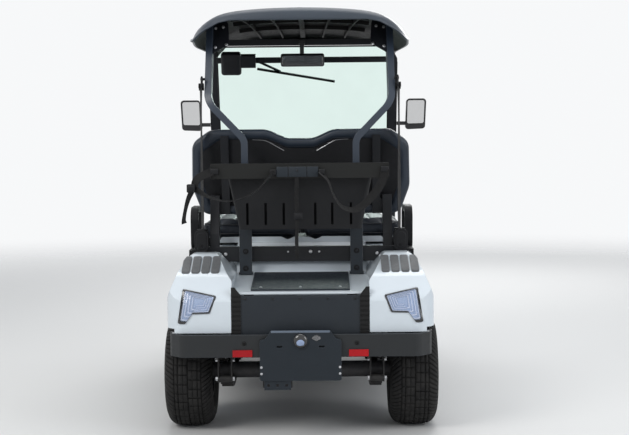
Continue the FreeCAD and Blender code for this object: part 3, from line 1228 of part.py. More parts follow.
def back_outline(inset):
    """Two-humped outline of the seat back from behind."""
    half, low, top = size.back_half - inset, size.back_low_z + inset, size.back_low_z + back_tall - inset
    return ([(-half + 46, low), (half - 46, low), (half, low + 130), (half - 6, top - 60), (half - 90, top),
             (150, top), (60, top - size.back_dip), (-60, top - size.back_dip), (-150, top),
             (-half + 90, top), (-half + 6, top - 60), (-half, low + 130)],
            [50, 50, 120, 60, 70, 120, 90, 90, 120, 70, 60, 120])


corners, rounds = back_outline(0)
shell = prism("front", corners, rounds, size.shell_y, size.shell_y + size.shell_thick)
corners, rounds = back_outline(size.shell_border)
recess = prism("front", corners, [max(r - 30, 8) for r in rounds],
               size.shell_y - 1, size.shell_y + size.shell_recess)
shell = shell.cut(recess)
node("seat_back_shell", made("seat_back_shell", leaned(shell)))
corners, rounds = back_outline(16)
cushion = prism("front", corners, [r - 10 for r in rounds], size.shell_y + size.shell_thick + 0.3,
                size.shell_y + size.shell_thick + size.back_thick)
node("seat_back_cushion", made("seat_back_cushion", leaned(cushion)))


# Arm loops


loop_in, loop_out = arm_loop_x, arm_loop_x + size.arm_loop_wide
# Outer and inner outline of an arm loop from the side: along, up
loop_outline = [(-585, 752), (-330, 752), (-345, 962), (-600, 962)]
loop_window = [(-557, 780), (-361, 780), (-372, 934), (-569, 934)]
loop = prism("side", loop_outline, 60, loop_in, loop_out)
loop = loop.cut(prism("side", loop_window, 34, loop_in - 5, loop_out + 5))
loop_arm = boxed((size.seat_rail_half, size.seat_rail_y + 2, size.seat_rail_low_z + 14),
                 (loop_out - 6, size.seat_rail_y + size.seat_rail_deep, size.seat_rail_low_z + 54))
loop_reach = boxed((loop_in + 6, size.seat_rail_y + 2, size.seat_rail_low_z + 34),
                   (loop_out - 6, -560, size.seat_rail_low_z + 54))
node("arm_loops", made("arm_loops", pair(loop.multiFuse([loop_arm, loop_reach]))))


# Seat belts


arm_top = size.rack_bar_low_z + size.rack_bar_tall - size.rack_arm_drop
foot_top_z = arm_top + size.rear_strut_foot
knee_z = foot_top_z + (size.roof_top_z - foot_top_z) * size.rear_strut_knee
knee_up = size.roof_top_z - knee_z
ring_y, ring_z = size.belt_ring_y, knee_z + knee_up * size.belt_ring_up
ring_tall = knee_up * size.belt_ring_tall
belt_across = Vector(0.52, 0.854, 0)
box_x, box_z = size.seat_rail_half + size.belt_box_out, size.seat_rail_low_z + size.belt_box_up
box_half, box_rise = size.belt_box_wide / 2, size.belt_box_tall / 2
retractor = prism("front", [(box_x - box_half, box_z - box_rise), (box_x + box_half, box_z - box_rise),
                            (box_x + box_half, box_z + box_rise), (box_x - box_half, box_z + box_rise)],
                  box_half * 0.8, size.seat_rail_y - size.belt_box_deep, size.seat_rail_y - size.seat_gap)
ring_x = strut_top_x + size.rear_strut_wide / 2 + size.belt_ring_out
belt_x = ring_x + size.belt_wide * 0.3
belt_y = size.seat_rail_y - size.belt_box_deep / 2
belt = bent_tube([Vector(belt_x, belt_y - 1, box_z + box_rise - 2), Vector(belt_x, belt_y - 3, ring_z - 240),
                  Vector(belt_x, ring_y, ring_z)], [400], size.belt_wide, size.belt_thick, belt_across)
ring_low_z, ring_high_z = ring_z - ring_tall * 0.18, ring_z + ring_tall * 0.82
ring = prism("side", [(ring_y - 22, ring_low_z), (ring_y + 12, ring_low_z), (ring_y + 12, ring_high_z),
                      (ring_y - 22, ring_high_z)], 12, ring_x, ring_x + size.belt_ring_wide)
seat_belt = retractor.multiFuse([belt, ring])
node("seat_belts", made("seat_belts", pair(seat_belt)))


# Bag rack, basket and straps


leg_x, leg_y, leg_foot_long = fender_in_x - size.rack_leg_in, size.rack_leg_y, 34
leg_low_z = well_top(leg_y + leg_foot_long) + size.seat_gap
leg = boxed((leg_x - size.rack_leg_wide / 2, leg_y, leg_low_z),
            (leg_x + size.rack_leg_wide / 2, leg_y + size.rack_leg_thick, arm_top))
leg_foot = boxed((leg_x - size.rack_leg_wide / 2 - 4, leg_y, leg_low_z),
                 (leg_x + size.rack_leg_wide / 2 + 4, leg_y + leg_foot_long, leg_low_z + 10))
bar_front_y = size.rack_y + size.rack_bar_deep
leg_arm = boxed((leg_x - size.rack_arm_wide / 2, bar_front_y - 1, size.basket_top_z + size.seat_gap),
                (leg_x + size.rack_arm_wide / 2, leg_y + 1, arm_top))
leg = leg.multiFuse([leg_foot, leg_arm])
bar_top = size.rack_bar_low_z + size.rack_bar_tall
skin = size.sheet_thick
bar_solid = boxed((-size.rack_bar_half, size.rack_y, size.rack_bar_low_z),
                  (size.rack_bar_half, bar_front_y, bar_top))
bar_hollow = boxed((-size.rack_bar_half - 1, size.rack_y + skin, size.rack_bar_low_z + skin),
                   (size.rack_bar_half + 1, bar_front_y - skin, bar_top - skin))
guide = boxed((-100, size.rack_y - 16, size.rack_bar_low_z + 5), (81, size.rack_y + 2, bar_top - 13))
end_web = prism("side", [(size.rack_y, size.rack_bar_low_z), (bar_front_y, size.rack_bar_low_z),
                         (bar_front_y, bar_top), (size.rack_y, bar_top)], 10,
                size.rack_bar_half - skin, size.rack_bar_half)
rack = bar_solid.cut(bar_hollow).multiFuse([leg, mirror_x(leg), guide, end_web, mirror_x(end_web)])
node("bag_rack", made("bag_rack", rack))


# The straps that hold the bags, as seen from behind: across and up, then the rounds between
strap_paths = [
    ([(-104, 1138), (-142, 1104), (-206, 1034), (-330, 1010), (-462, 1070), (-440, 1120), (-376, 1142)],
     [30, 50, 80, 24, 22]),
    ([(-474, 1056), (-492, 1005), (-503, 935), (-500, 918)], [60, 60]),
    ([(85, 1138), (122, 1100), (190, 968), (268, 975), (352, 1080), (372, 1150)],
     [50, 50, 50, 60]),
]
strap_y = size.rack_y - size.strap_wide - size.seat_gap
straps = []
for path, strap_rounds in strap_paths:
    points = [Vector(across, strap_y, up) for across, up in path]
    straps.append(webbing(points, strap_rounds, size.strap_wide, size.strap_thick))
side_buckle = boxed((-484, strap_y - 2, 1050), (-452, strap_y + size.strap_wide, 1090))
left_strap = straps[0].multiFuse([straps[1], side_buckle])
hanging = boxed((-22, size.rack_y - 15, 760), (-6, size.rack_y - 12, size.rack_bar_low_z + 4.7))
hanging = hanging.fuse(boxed((-26, size.rack_y - 20, 930), (12, size.rack_y - 8, 962)))
node("bag_straps", made("bag_straps", Part.makeCompound([left_strap, straps[2], hanging])))


def basket_hull(inset):
    """A tray that narrows downwards."""
    top, low = size.basket_top_z, size.basket_low_z + inset
    rear = size.rack_y + size.rack_bar_deep + size.seat_gap
    front = size.rack_leg_y - size.seat_gap
    wires = []
    for z, half, y0, y1 in ((low, size.basket_low_half, rear + 18, front - size.basket_front_lean),
                            (top + (1 if inset else 0), size.basket_top_half, rear, front)):
        points = [Vector(-half + inset, y0 + inset, z), Vector(half - inset, y0 + inset, z),
                  Vector(half - inset, y1 - inset, z), Vector(-half + inset, y1 - inset, z)]
        wires.append(rounded(points, 24 - inset / 2))
    return Part.makeLoft(wires, True, True)


basket = basket_hull(0.0).cut(basket_hull(size.basket_wall))
# Middles of the slots in the basket's rear wall
slot_places = [-231, -151, -72, 66, 140, 222]
slots = []
for x in slot_places:
    slots.append(boxed((x - size.basket_slot_wide / 2, -1050, size.basket_low_z + 20),
                       (x + size.basket_slot_wide / 2, -900, size.basket_low_z + 20 + size.basket_slot_tall)))
node("sweater_basket", made("sweater_basket", basket.cut(Part.makeCompound(slots))))


# Roof


crown_y = (size.roof_rear_y + size.roof_front_y) / 2
roof_half_long = (size.roof_front_y - size.roof_rear_y) / 2


def roof_section(y, drop):
    """The roof's outline at a place along the cart, carried down to a level under everything."""
    share = ((y - crown_y) / roof_half_long) ** 2
    half = size.roof_half - (size.roof_half - size.roof_rear_half) * share - drop
    top = size.roof_top_z - size.roof_end_drop * share - drop
    right = [(half, 400), (half, top - size.roof_side_drop),
             (half - size.roof_knee_in, top - size.roof_knee_drop),
             (size.roof_shoulder_x, top - size.roof_shoulder_drop)]
    corners = right + [(0, top + 6)] + [(-across, up) for across, up in reversed(right)]
    rounds = [0, 30, 60, 220, size.roof_crown_radius, 220, 60, 30, 0]
    return rounded([Vector(across, y, up) for across, up in corners], rounds)


def crown_form(drop):
    """All that lies under the roof's crown, which curves across and along the cart."""
    reach = roof_half_long + size.roof_wall
    sections = [roof_section(y, drop) for y in (crown_y - reach, crown_y, crown_y + reach)]
    return Part.makeLoft(sections, True, False)


def roof_form(drop, inset):
    """The crown inside the roof's rounded plan outline."""
    end_half, half = size.roof_rear_half + 20 - inset, size.roof_half + 60 - inset
    rear, front = size.roof_rear_y + inset, size.roof_front_y - inset
    plan = [(-end_half, rear), (end_half, rear), (half, crown_y), (end_half, front),
            (-end_half, front), (-half, crown_y)]
    corner = size.roof_corner - inset
    outline = prism("plan", plan, [corner, corner, 3000, corner, corner, 3000],
                    roof_low_z - (2 if inset else 0), size.roof_top_z + 40)
    return crown_form(drop).common(outline)


roof = roof_form(0.0, 0.0).cut(roof_form(size.roof_wall, size.roof_wall))
# The edges' undersides, half of each from the outside inward: across, up
bow_low_z = roof_low_z - 27
rear_bow = [(500, bow_low_z), (440, roof_low_z + 40), (330, size.roof_top_z - size.roof_rear_bow)]
front_bow = [(500, bow_low_z), (468, roof_low_z + 33), (400, size.roof_top_z - size.roof_front_bow)]
for half_bow, start, end in ((rear_bow, -900, crown_y), (front_bow, crown_y, 800)):
    corners = half_bow + [(-across, up) for across, up in reversed(half_bow)]
    roof = roof.cut(prism("front", corners, [0, 60, 180, 180, 60, 0], start, end))
side_bow = prism("side", [(size.roof_rear_y + 120, bow_low_z), (size.roof_front_y - 120, bow_low_z),
                          (size.roof_front_y - 240, size.roof_top_z - size.roof_side_bow),
                          (size.roof_rear_y + 240, size.roof_top_z - size.roof_side_bow)],
                 [0, 0, 120, 120], -700, 700)
roof = roof.cut(side_bow)
# Ribs under the roof: from and to in plan, width
roof_ribs = [
    (0, -760, 0, 590, 26), (-160, -760, -110, 590, 9), (160, -760, 110, 590, 9), (-300, -740, -230, 560, 9),
    (300, -740, 230, 560, 9), (-330, -430, 330, -430, 12), (-340, -90, 340, -90, 12),
    (-330, 250, 330, 250, 12),
]
rib_layer = roof_form(size.roof_wall - 1, size.roof_wall - 1).cut(
    roof_form(size.roof_wall + size.roof_rib_tall, size.roof_wall + size.roof_rib_tall))
rib_tools = []
for x0, y0, x1, y1, wide in roof_ribs:
    start, run = Vector(x0, y0, 0), Vector(x1 - x0, y1 - y0, 0)
    aside = Vector(-run.y, run.x, 0).normalize() * (wide / 2)
    corners = [start + aside, start - aside, start + run - aside, start + run + aside]
    face = Part.Face(Part.makePolygon(corners + corners[:1]))
    rib_tools.append(face.extrude(Vector(0, 0, size.roof_top_z + 100)))
roof = roof.fuse(rib_layer.common(rib_tools[0].multiFuse(rib_tools[1:])))
node("roof", made("roof", roof))


# Struts


over_roof = boxed((-700, size.roof_rear_y, roof_low_z - 30),
                  (700, size.roof_front_y, size.roof_top_z + 200))
over_roof = over_roof.cut(crown_form(size.roof_wall + size.seat_gap))
rear_strut_y = leg_y + size.rack_leg_thick / 2
rear_strut = bent_tube([
    Vector(leg_x, rear_strut_y, arm_top + size.seat_gap),
    Vector(leg_x, rear_strut_y, foot_top_z),
    Vector(strut_top_x, rear_strut_y + 8, knee_z),
    Vector(strut_top_x, size.rear_strut_top_y, size.roof_top_z + 5)], [60, 90],
    size.rear_strut_wide, size.rear_strut_deep)
node("rear_struts", made("rear_struts", pair(rear_strut.cut(over_roof))))

strut_foot = Vector(size.strut_half, size.screen_foot_y + 30, size.strut_foot_z)
strut_bend = Vector(size.strut_half, size.screen_foot_y + 4, 940)
strut_top = Vector(size.strut_half, size.screen_top_y - 40, screen_top_z + 105)
front_strut = bent_tube([strut_foot, strut_bend, strut_top], [300],
                        size.front_strut_wide, size.front_strut_deep)
header = boxed((-size.strut_half + 16, size.screen_top_y - 14, screen_top_z - 6),
               (size.strut_half - 16, size.screen_top_y + 10, screen_top_z + 26))
front_struts = front_strut.multiFuse([mirror_x(front_strut), header]).cut(over_roof)
node("front_struts", made("front_struts", front_struts))
foot_run = (strut_foot - strut_bend).normalize()
strut_hole = bent_tube([strut_foot + foot_run * 20, strut_bend, strut_top], [300],
                       size.front_strut_wide + 2 * size.seat_gap, size.front_strut_deep + 2 * size.seat_gap)
for name in ("front_cowl", "dash"):
    piece = doc.getObject(name)
    piece.Shape = piece.Shape.cut(strut_hole).cut(mirror_x(strut_hole))


# Windscreen, wiper and mirrors


screen_run = Vector(0, size.screen_top_y - size.screen_foot_y, screen_top_z - size.screen_foot_z)
screen_along = Vector(screen_run).normalize()
screen_out = Vector(0, screen_along.z, -screen_along.y)


def on_screen(x, up, out):
    """A point on the windscreen's plane: across, up the slope, and out from the glass."""
    return Vector(x, size.screen_foot_y, size.screen_foot_z) + screen_along * up + screen_out * out


screen_long = screen_run.Length
glass_half = size.strut_half - size.front_strut_wide / 2 - 0.5
glass_low, glass_high = 30, screen_long - 12
glass_corners = [on_screen(-glass_half, glass_low, 0), on_screen(glass_half, glass_low, 0),
                 on_screen(glass_half, glass_high, 0), on_screen(-glass_half, glass_high, 0)]
glass = Part.Face(rounded(glass_corners, 30)).extrude(screen_out * size.screen_thick)
node("windscreen_glass", made("windscreen_glass", glass))


def slab(x0, x1, up0, up1, out0, out1):
    """A block lying along the windscreen's slope."""
    corners = [on_screen(x0, up0, out0), on_screen(x1, up0, out0), on_screen(x1, up1, out0),
               on_screen(x0, up1, out0)]
    return Part.Face(Part.makePolygon(corners + corners[:1])).extrude(screen_out * (out1 - out0))


wiper_bar = slab(-glass_half, glass_half, screen_long - 97, screen_long - 71, -22, -0.3)
motor_case = slab(-436, -328, screen_long - 151, screen_long - 27, -74, -22)
motor_case = motor_case.makeFillet(16, motor_case.Edges)
motor_neck = slab(-340, -251, screen_long - 110, screen_long - 45, -64, -21)
screen_foot = slab(-glass_half, glass_half, 0, 29.7, -8, 10)


def screen_strip(start, end, wide, out0, out1):
    """A straight strip on the windscreen's plane between two points given as across and up."""
    along = Vector(end[0] - start[0], end[1] - start[1], 0)
    aside = Vector(-along.y, along.x, 0).normalize() * (wide / 2)
    corners = [on_screen(start[0] + aside.x, start[1] + aside.y, out0),
               on_screen(start[0] - aside.x, start[1] - aside.y, out0),
               on_screen(end[0] - aside.x, end[1] - aside.y, out0),
               on_screen(end[0] + aside.x, end[1] + aside.y, out0)]
    return Part.Face(Part.makePolygon(corners + corners[:1])).extrude(screen_out * (out1 - out0))


pivot = (-270, screen_long - 86)
wiper_shaft = Part.makeCylinder(6, 54, on_screen(*pivot, -30), screen_out)
wiper_hole = Part.makeCylinder(6.4, 40, on_screen(*pivot, -15), screen_out)
arm_end = (-121, screen_long - 158)
wiper_arm = screen_strip(pivot, arm_end, 12, 15, 22)
wiper_blade = screen_strip((-247, screen_long - 139), (172, screen_long - 214), 12,
                           size.screen_thick + 0.3, 16)
wiper = wiper_bar.multiFuse([motor_case, motor_neck, wiper_shaft, wiper_arm, wiper_blade])
glass_piece = doc.getObject("windscreen_glass")
glass_piece.Shape = glass_piece.Shape.cut(wiper_hole)
node("windscreen_rails", made("windscreen_rails", Part.makeCompound([wiper, screen_foot])))

inside_mirror = slab(-116, 116, screen_long - 99, screen_long - 28, -92, -66)
inside_mirror = inside_mirror.makeFillet(12, inside_mirror.Edges)
header_rear_y = size.screen_top_y - 14
stem_y = min(on_screen(0, screen_long - 64, -69).y, header_rear_y - size.seat_gap - 14)
stem_top_z = screen_top_z + 20
mirror_stem = boxed((-14, stem_y, screen_top_z - 90), (8, stem_y + 14, stem_top_z))
mirror_foot = boxed((-20, stem_y, screen_top_z), (14, header_rear_y - size.seat_gap, stem_top_z))
inside_mirror = inside_mirror.multiFuse([mirror_stem, mirror_foot])

mirror_y = size.screen_foot_y - (size.mirror_z - size.screen_foot_z) / (
    screen_top_z - size.screen_foot_z) * (size.screen_foot_y - size.screen_top_y)
mirror_half, mirror_rise, mirror_slant = size.mirror_wide / 2, size.mirror_tall / 2, 4
low_in = size.mirror_x - mirror_half - mirror_slant / 2
high_in = size.mirror_x - mirror_half + mirror_slant * 1.5
mirror_low_z, mirror_high_z = size.mirror_z - mirror_rise, size.mirror_z + mirror_rise
mirror_corners = [(low_in, mirror_low_z), (low_in + 2 * mirror_half, mirror_low_z + 4),
                  (high_in + 2 * mirror_half, mirror_high_z), (high_in, mirror_high_z)]
mirror_head = prism("front", mirror_corners, 18, mirror_y - 20, mirror_y - 20 + size.mirror_deep)
strut_face_x = size.strut_half + size.front_strut_wide / 2
mirror_arm = boxed((strut_face_x + size.seat_gap, mirror_y - 8, size.mirror_z - 60),
                   (size.mirror_x - 50, mirror_y + 8, size.mirror_z - 40))
side_mirror = mirror_head.fuse(mirror_arm)
node("mirrors", made("mirrors", Part.makeCompound([inside_mirror, side_mirror, mirror_x(side_mirror)])))


# Steering column, steering wheel and pedals


column = Part.makeCylinder(size.column_radius, size.column_length, column_start, column_out)
node("steering_column", made("steering_column", column))
wheel_turn = Rotation(Z_AXIS, column_out)


def on_column(shape):
    """Stand a shape made about the Z axis on the steering column's end."""
    shape = shape.copy()
    shape.Placement = Placement(steer_middle, wheel_turn)
    return shape


steer_wheel = Part.makeTorus(size.steer_radius, size.steer_rim)
steer_hub = Part.makeCylinder(size.steer_hub_radius, size.steer_hub_tall,
                              Vector(0, 0, -40 + size.face_clearance))
spokes = [boxed((-size.spoke_wide / 2, 20, -4 - size.spoke_thick),
                (size.spoke_wide / 2, size.steer_radius, -4))]
for angle in (120, 240):
    spoke = spokes[0].copy()
    spoke.rotate(Vector(), Z_AXIS, angle)
    spokes.append(spoke)
node("steering_wheel", made("steering_wheel", on_column(steer_wheel.multiFuse([steer_hub] + spokes))))


def toe_face(z):
    """Rear face of the toe board at a height."""
    return toe_foot_y - 8 + (z - box_low_z) * size.toe_run / (size.toe_rise - 6)


# Brake and accelerator: middle, half width, low edge, high edge
pedal_rows = [(-232, 36, 430, 520), (-118, 24, 400, 520)]
pedals = []
for x, half, low_z, high_z in pedal_rows:
    plate_back = toe_face(low_z) - 46
    pedal = boxed((x - half, plate_back, low_z), (x + half, plate_back + 12, high_z))
    stalk_y = toe_face(high_z - 30) - size.seat_gap
    stalk_corners = [(plate_back + 5, high_z - 34), (stalk_y, high_z - 30),
                     (toe_face(high_z - 12) - size.seat_gap, high_z - 12), (plate_back + 5, high_z - 12)]
    stalk = prism("side", stalk_corners, 0, x - 8, x + 8)
    pedals.append(pedal.fuse(stalk))
node("pedals", made("pedals", Part.makeCompound(pedals)))


# Check everything, then write the files


doc.recompute()
for thing in doc.Objects:
    if "Invalid" in thing.State or "Error" in thing.State:
        raise RuntimeError("%s did not compute" % thing.Name)
for piece in nodes:
    if piece.Shape.isNull() or not piece.Shape.isValid() or not piece.Shape.Solids:
        raise RuntimeError("%s has no sound shape" % piece.Label)
os.makedirs("parts", exist_ok=True)
for piece in nodes:
    piece.Shape.exportStep("parts/%s.step" % piece.Label)
print(len(nodes), "nodes written")
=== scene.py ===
"""The looks of a two-seat golf cart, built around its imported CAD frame.

Metres, +Y forward, +X to the cart's right, +Z up, origin on the ground under its middle.
"""

import math

import bmesh
import bpy
import numpy as np
from mathutils import Matrix, Vector
from mathutils.bvhtree import BVHTree


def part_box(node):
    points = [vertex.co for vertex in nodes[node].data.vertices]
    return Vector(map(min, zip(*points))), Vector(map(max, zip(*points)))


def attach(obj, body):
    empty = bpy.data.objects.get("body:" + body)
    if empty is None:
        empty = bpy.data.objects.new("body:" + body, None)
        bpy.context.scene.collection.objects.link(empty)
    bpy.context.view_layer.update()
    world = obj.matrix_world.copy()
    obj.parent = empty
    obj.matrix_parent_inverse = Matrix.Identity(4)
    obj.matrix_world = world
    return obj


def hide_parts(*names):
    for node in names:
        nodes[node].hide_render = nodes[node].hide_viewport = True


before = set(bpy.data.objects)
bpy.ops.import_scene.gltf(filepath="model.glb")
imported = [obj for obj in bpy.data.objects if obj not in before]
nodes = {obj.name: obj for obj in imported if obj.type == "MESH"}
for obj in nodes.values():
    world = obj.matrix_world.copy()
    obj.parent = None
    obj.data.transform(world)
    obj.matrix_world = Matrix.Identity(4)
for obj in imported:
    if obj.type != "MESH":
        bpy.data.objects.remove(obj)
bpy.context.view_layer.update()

# Places of the CAD model that the looks are built on
AXLE_Y = {"front": 0.825, "rear": -0.845}
AXLE_Z = 0.245
TYRE_X = 0.4925
SIDES = {"left": -1, "right": 1}
BACKWARD = (0, -1, 0)

# The photo's camera: its place, then pitch down, yaw to the left and roll in radians, and its lens in mm
CAMERA_PLACE = (0.089, -6.645, 1.286)
CAMERA_PITCH, CAMERA_YAW, CAMERA_ROLL = math.radians(3.54), 0.0047, -0.0088
LENS, SENSOR = 74.4, 36.0

LIGHTS = [  # name, place, target, size, watts, colour
    ("key", (-4.2, -5.2, 5.0), (0, -0.4, 0.8), 3.6, 225, (1.0, 0.985, 0.96)),
    ("fill", (4.8, -3.8, 2.8), (0, -0.4, 0.8), 3.6, 105, (0.95, 0.97, 1.0)),
    ("top", (0.3, 0.2, 6.0), (0, 0, 1.0), 4.5, 150, (1, 1, 1)),
    ("far", (1.5, 6.0, 3.6), (0, 0, 1.0), 3.5, 140, (1, 1, 1)),
]
WORLD_LIGHT, WORLD_SEEN = (0.36, 0.38, 0.41), (0.93, 0.94, 0.95)
FLOOR_COLOUR, FLOOR_ROUGH, FLOOR_HALF = (0.70, 0.70, 0.69), 0.8, 30
FLOOR_FADE = (3.5, 11.0)  # where the floor begins and ends to fade, from the origin

# ---- objects and shader nodes


def add_object(name, data):
    obj = bpy.data.objects.new(name, data)
    bpy.context.scene.collection.objects.link(obj)
    return obj


def mesh_of(name, verts, faces):
    data = bpy.data.meshes.new(name)
    data.from_pydata([tuple(v) for v in verts], [], faces)
    data.validate()
    return data


def calculate(tree, operation, *values, kind="ShaderNodeMath"):
    """The result of a maths node on sockets."""
    node = tree.nodes.new(kind)
    node.operation = operation
    for socket, value in zip(node.inputs, values):
        tree.links.new(value, socket)
    return node.outputs["Value"]


def coordinate(tree, coords, axis):
    parts = tree.nodes.new("ShaderNodeSeparateXYZ")
    tree.links.new(coords, parts.inputs[0])
    return parts.outputs[axis]


def texture(tree, kind, coords, scale, **inputs):
    node = tree.nodes.new("ShaderNodeTex" + kind)
    tree.links.new(coords, node.inputs["Vector"])
    node.inputs["Scale"].default_value = scale
    for name, value in inputs.items():
        node.inputs[name].default_value = value
    return node


def noise(tree, coords, scale, **inputs):
    return texture(tree, "Noise", coords, scale, **inputs).outputs["Fac"]


def ranged(tree, value, low, high, to_low, to_high):
    node = tree.nodes.new("ShaderNodeMapRange")
    tree.links.new(value, node.inputs["Value"])
    for name, number in zip(("From Min", "From Max", "To Min", "To Max"), (low, high, to_low, to_high)):
        node.inputs[name].default_value = number
    return node.outputs["Result"]


def mixed(tree, factor, first, second):
    """Two colours, each a colour or a socket, mixed by a factor socket."""
    node = tree.nodes.new("ShaderNodeMix")
    node.data_type = "RGBA"
    tree.links.new(factor, node.inputs["Factor"])
    for name, value in (("A", first), ("B", second)):
        if isinstance(value, tuple):
            node.inputs[name].default_value = (*value, 1)
        else:
            tree.links.new(value, node.inputs[name])
    return node.outputs["Result"]


# ---- camera, light and floor


def make_camera():
    data = bpy.data.cameras.new("camera")
    data.lens, data.sensor_width = LENS, SENSOR
    data.clip_start, data.clip_end = 0.1, 100
    camera = add_object("camera", data)
    turn = Matrix.Rotation(CAMERA_YAW, 4, "Z") @ Matrix.Rotation(math.pi / 2 - CAMERA_PITCH, 4, "X")
    camera.matrix_world = Matrix.Translation(CAMERA_PLACE) @ turn @ Matrix.Rotation(CAMERA_ROLL, 4, "Z")
    bpy.context.scene.camera = camera


def make_light(name, place, target, wide, watts, colour):
    data = bpy.data.lights.new(name, "AREA")
    data.shape, data.size, data.energy, data.color = "DISK", wide, watts, colour
    light = add_object(name, data)
    light.location = place
    light.rotation_euler = (Vector(target) - Vector(place)).to_track_quat("-Z", "Y").to_euler()


def make_world():
    """Soft grey light all round; camera, glossy and transmitted rays meet a plain near-white."""
    world = bpy.data.worlds.new("studio")
    world.use_nodes = True
    bpy.context.scene.world = world
    tree = world.node_tree
    rays = tree.nodes.new("ShaderNodeLightPath").outputs
    seen = calculate(tree, "MAXIMUM", rays["Is Camera Ray"], rays["Is Transmission Ray"])
    seen = calculate(tree, "MAXIMUM", seen, rays["Is Glossy Ray"])
    tree.links.new(mixed(tree, seen, WORLD_LIGHT, WORLD_SEEN), tree.nodes["Background"].inputs["Color"])


def make_floor():
    """A pale floor that fades into the background away from the cart."""
    corners = [(x, y, 0) for y in (-FLOOR_HALF, FLOOR_HALF) for x in (-FLOOR_HALF, FLOOR_HALF)]
    floor = add_object("floor", mesh_of("floor", corners, [(0, 1, 3, 2)]))
    mat = bpy.data.materials.new("floor")
    mat.use_nodes = True
    tree = mat.node_tree
    shader = tree.nodes["Principled BSDF"]
    shader.inputs["Base Color"].default_value = (*FLOOR_COLOUR, 1)
    shader.inputs["Roughness"].default_value = FLOOR_ROUGH
    coords = tree.nodes.new("ShaderNodeTexCoord").outputs["Object"]
    away = calculate(tree, "LENGTH", coords, kind="ShaderNodeVectorMath")
    fade = ranged(tree, away, *FLOOR_FADE, 0, 1)
    fade.node.interpolation_type = "SMOOTHSTEP"
    clear = tree.nodes.new("ShaderNodeBsdfTransparent")
    mix = tree.nodes.new("ShaderNodeMixShader")
    for socket, source in zip(mix.inputs, (fade, shader.outputs[0], clear.outputs[0])):
        tree.links.new(source, socket)
    tree.links.new(mix.outputs[0], tree.nodes["Material Output"].inputs["Surface"])
    floor.data.materials.append(mat)


bpy.context.scene.view_settings.view_transform = "Standard"
make_camera()
make_world()
make_floor()
for row in LIGHTS:
    make_light(*row)

# ---- materials

TONE_CLOUD = {"scale": 6, "Detail": 6, "Roughness": 0.62}
GLOSS_CLOUD = {"scale": 55, "Detail": 4}
DUST_CLOUD = {"scale": 18, "Detail": 8, "Roughness": 0.7}
DUST_COLOUR = (0.115, 0.108, 0.10)
DUST_FULL, DUST_NONE = 0.05, 0.55  # heights where the dust is full and gone
# Edge tint by how far the bevelled normal turns from the face, and its strongest share: wear, and a painted
# highlight on some looks
WEAR_AND_HIGHLIGHT_FACING, WEAR_AND_HIGHLIGHT_MOST = (0.80, 0.985), 0.55
COAT_ROUGH = 0.06


def shade(colour, amount):
    return tuple(min(1.0, channel * amount) for channel in colour)


def relief(tree, coords, kind, scale, height, normal=None):
    """A bump from one of the textures that the cart's surfaces have; height in metres."""
    if kind == "grain":
        source = texture(tree, "Voronoi", coords, scale).outputs["Distance"]
    elif kind == "weave":
        waves = []
        for direction in "XZ":
            wave = texture(tree, "Wave", coords, scale)
            wave.bands_direction = direction
            waves.append(wave.outputs["Fac"])
        source = calculate(tree, "MULTIPLY", *waves)
    elif kind == "brushed":
        stretch = tree.nodes.new("ShaderNodeMapping")
        stretch.inputs["Scale"].default_value = (0.05, 1, 1)
        tree.links.new(coords, stretch.inputs["Vector"])
        source = noise(tree, stretch.outputs[0], scale, Detail=4)
    else:
        source = noise(tree, coords, scale, Detail=5, Roughness=0.6)
    bump = tree.nodes.new("ShaderNodeBump")
    bump.inputs["Strength"].default_value = 1.0
    bump.inputs["Distance"].default_value = height
    tree.links.new(source, bump.inputs["Height"])
    if normal is not None:
        tree.links.new(normal, bump.inputs["Normal"])
    return bump.outputs["Normal"]


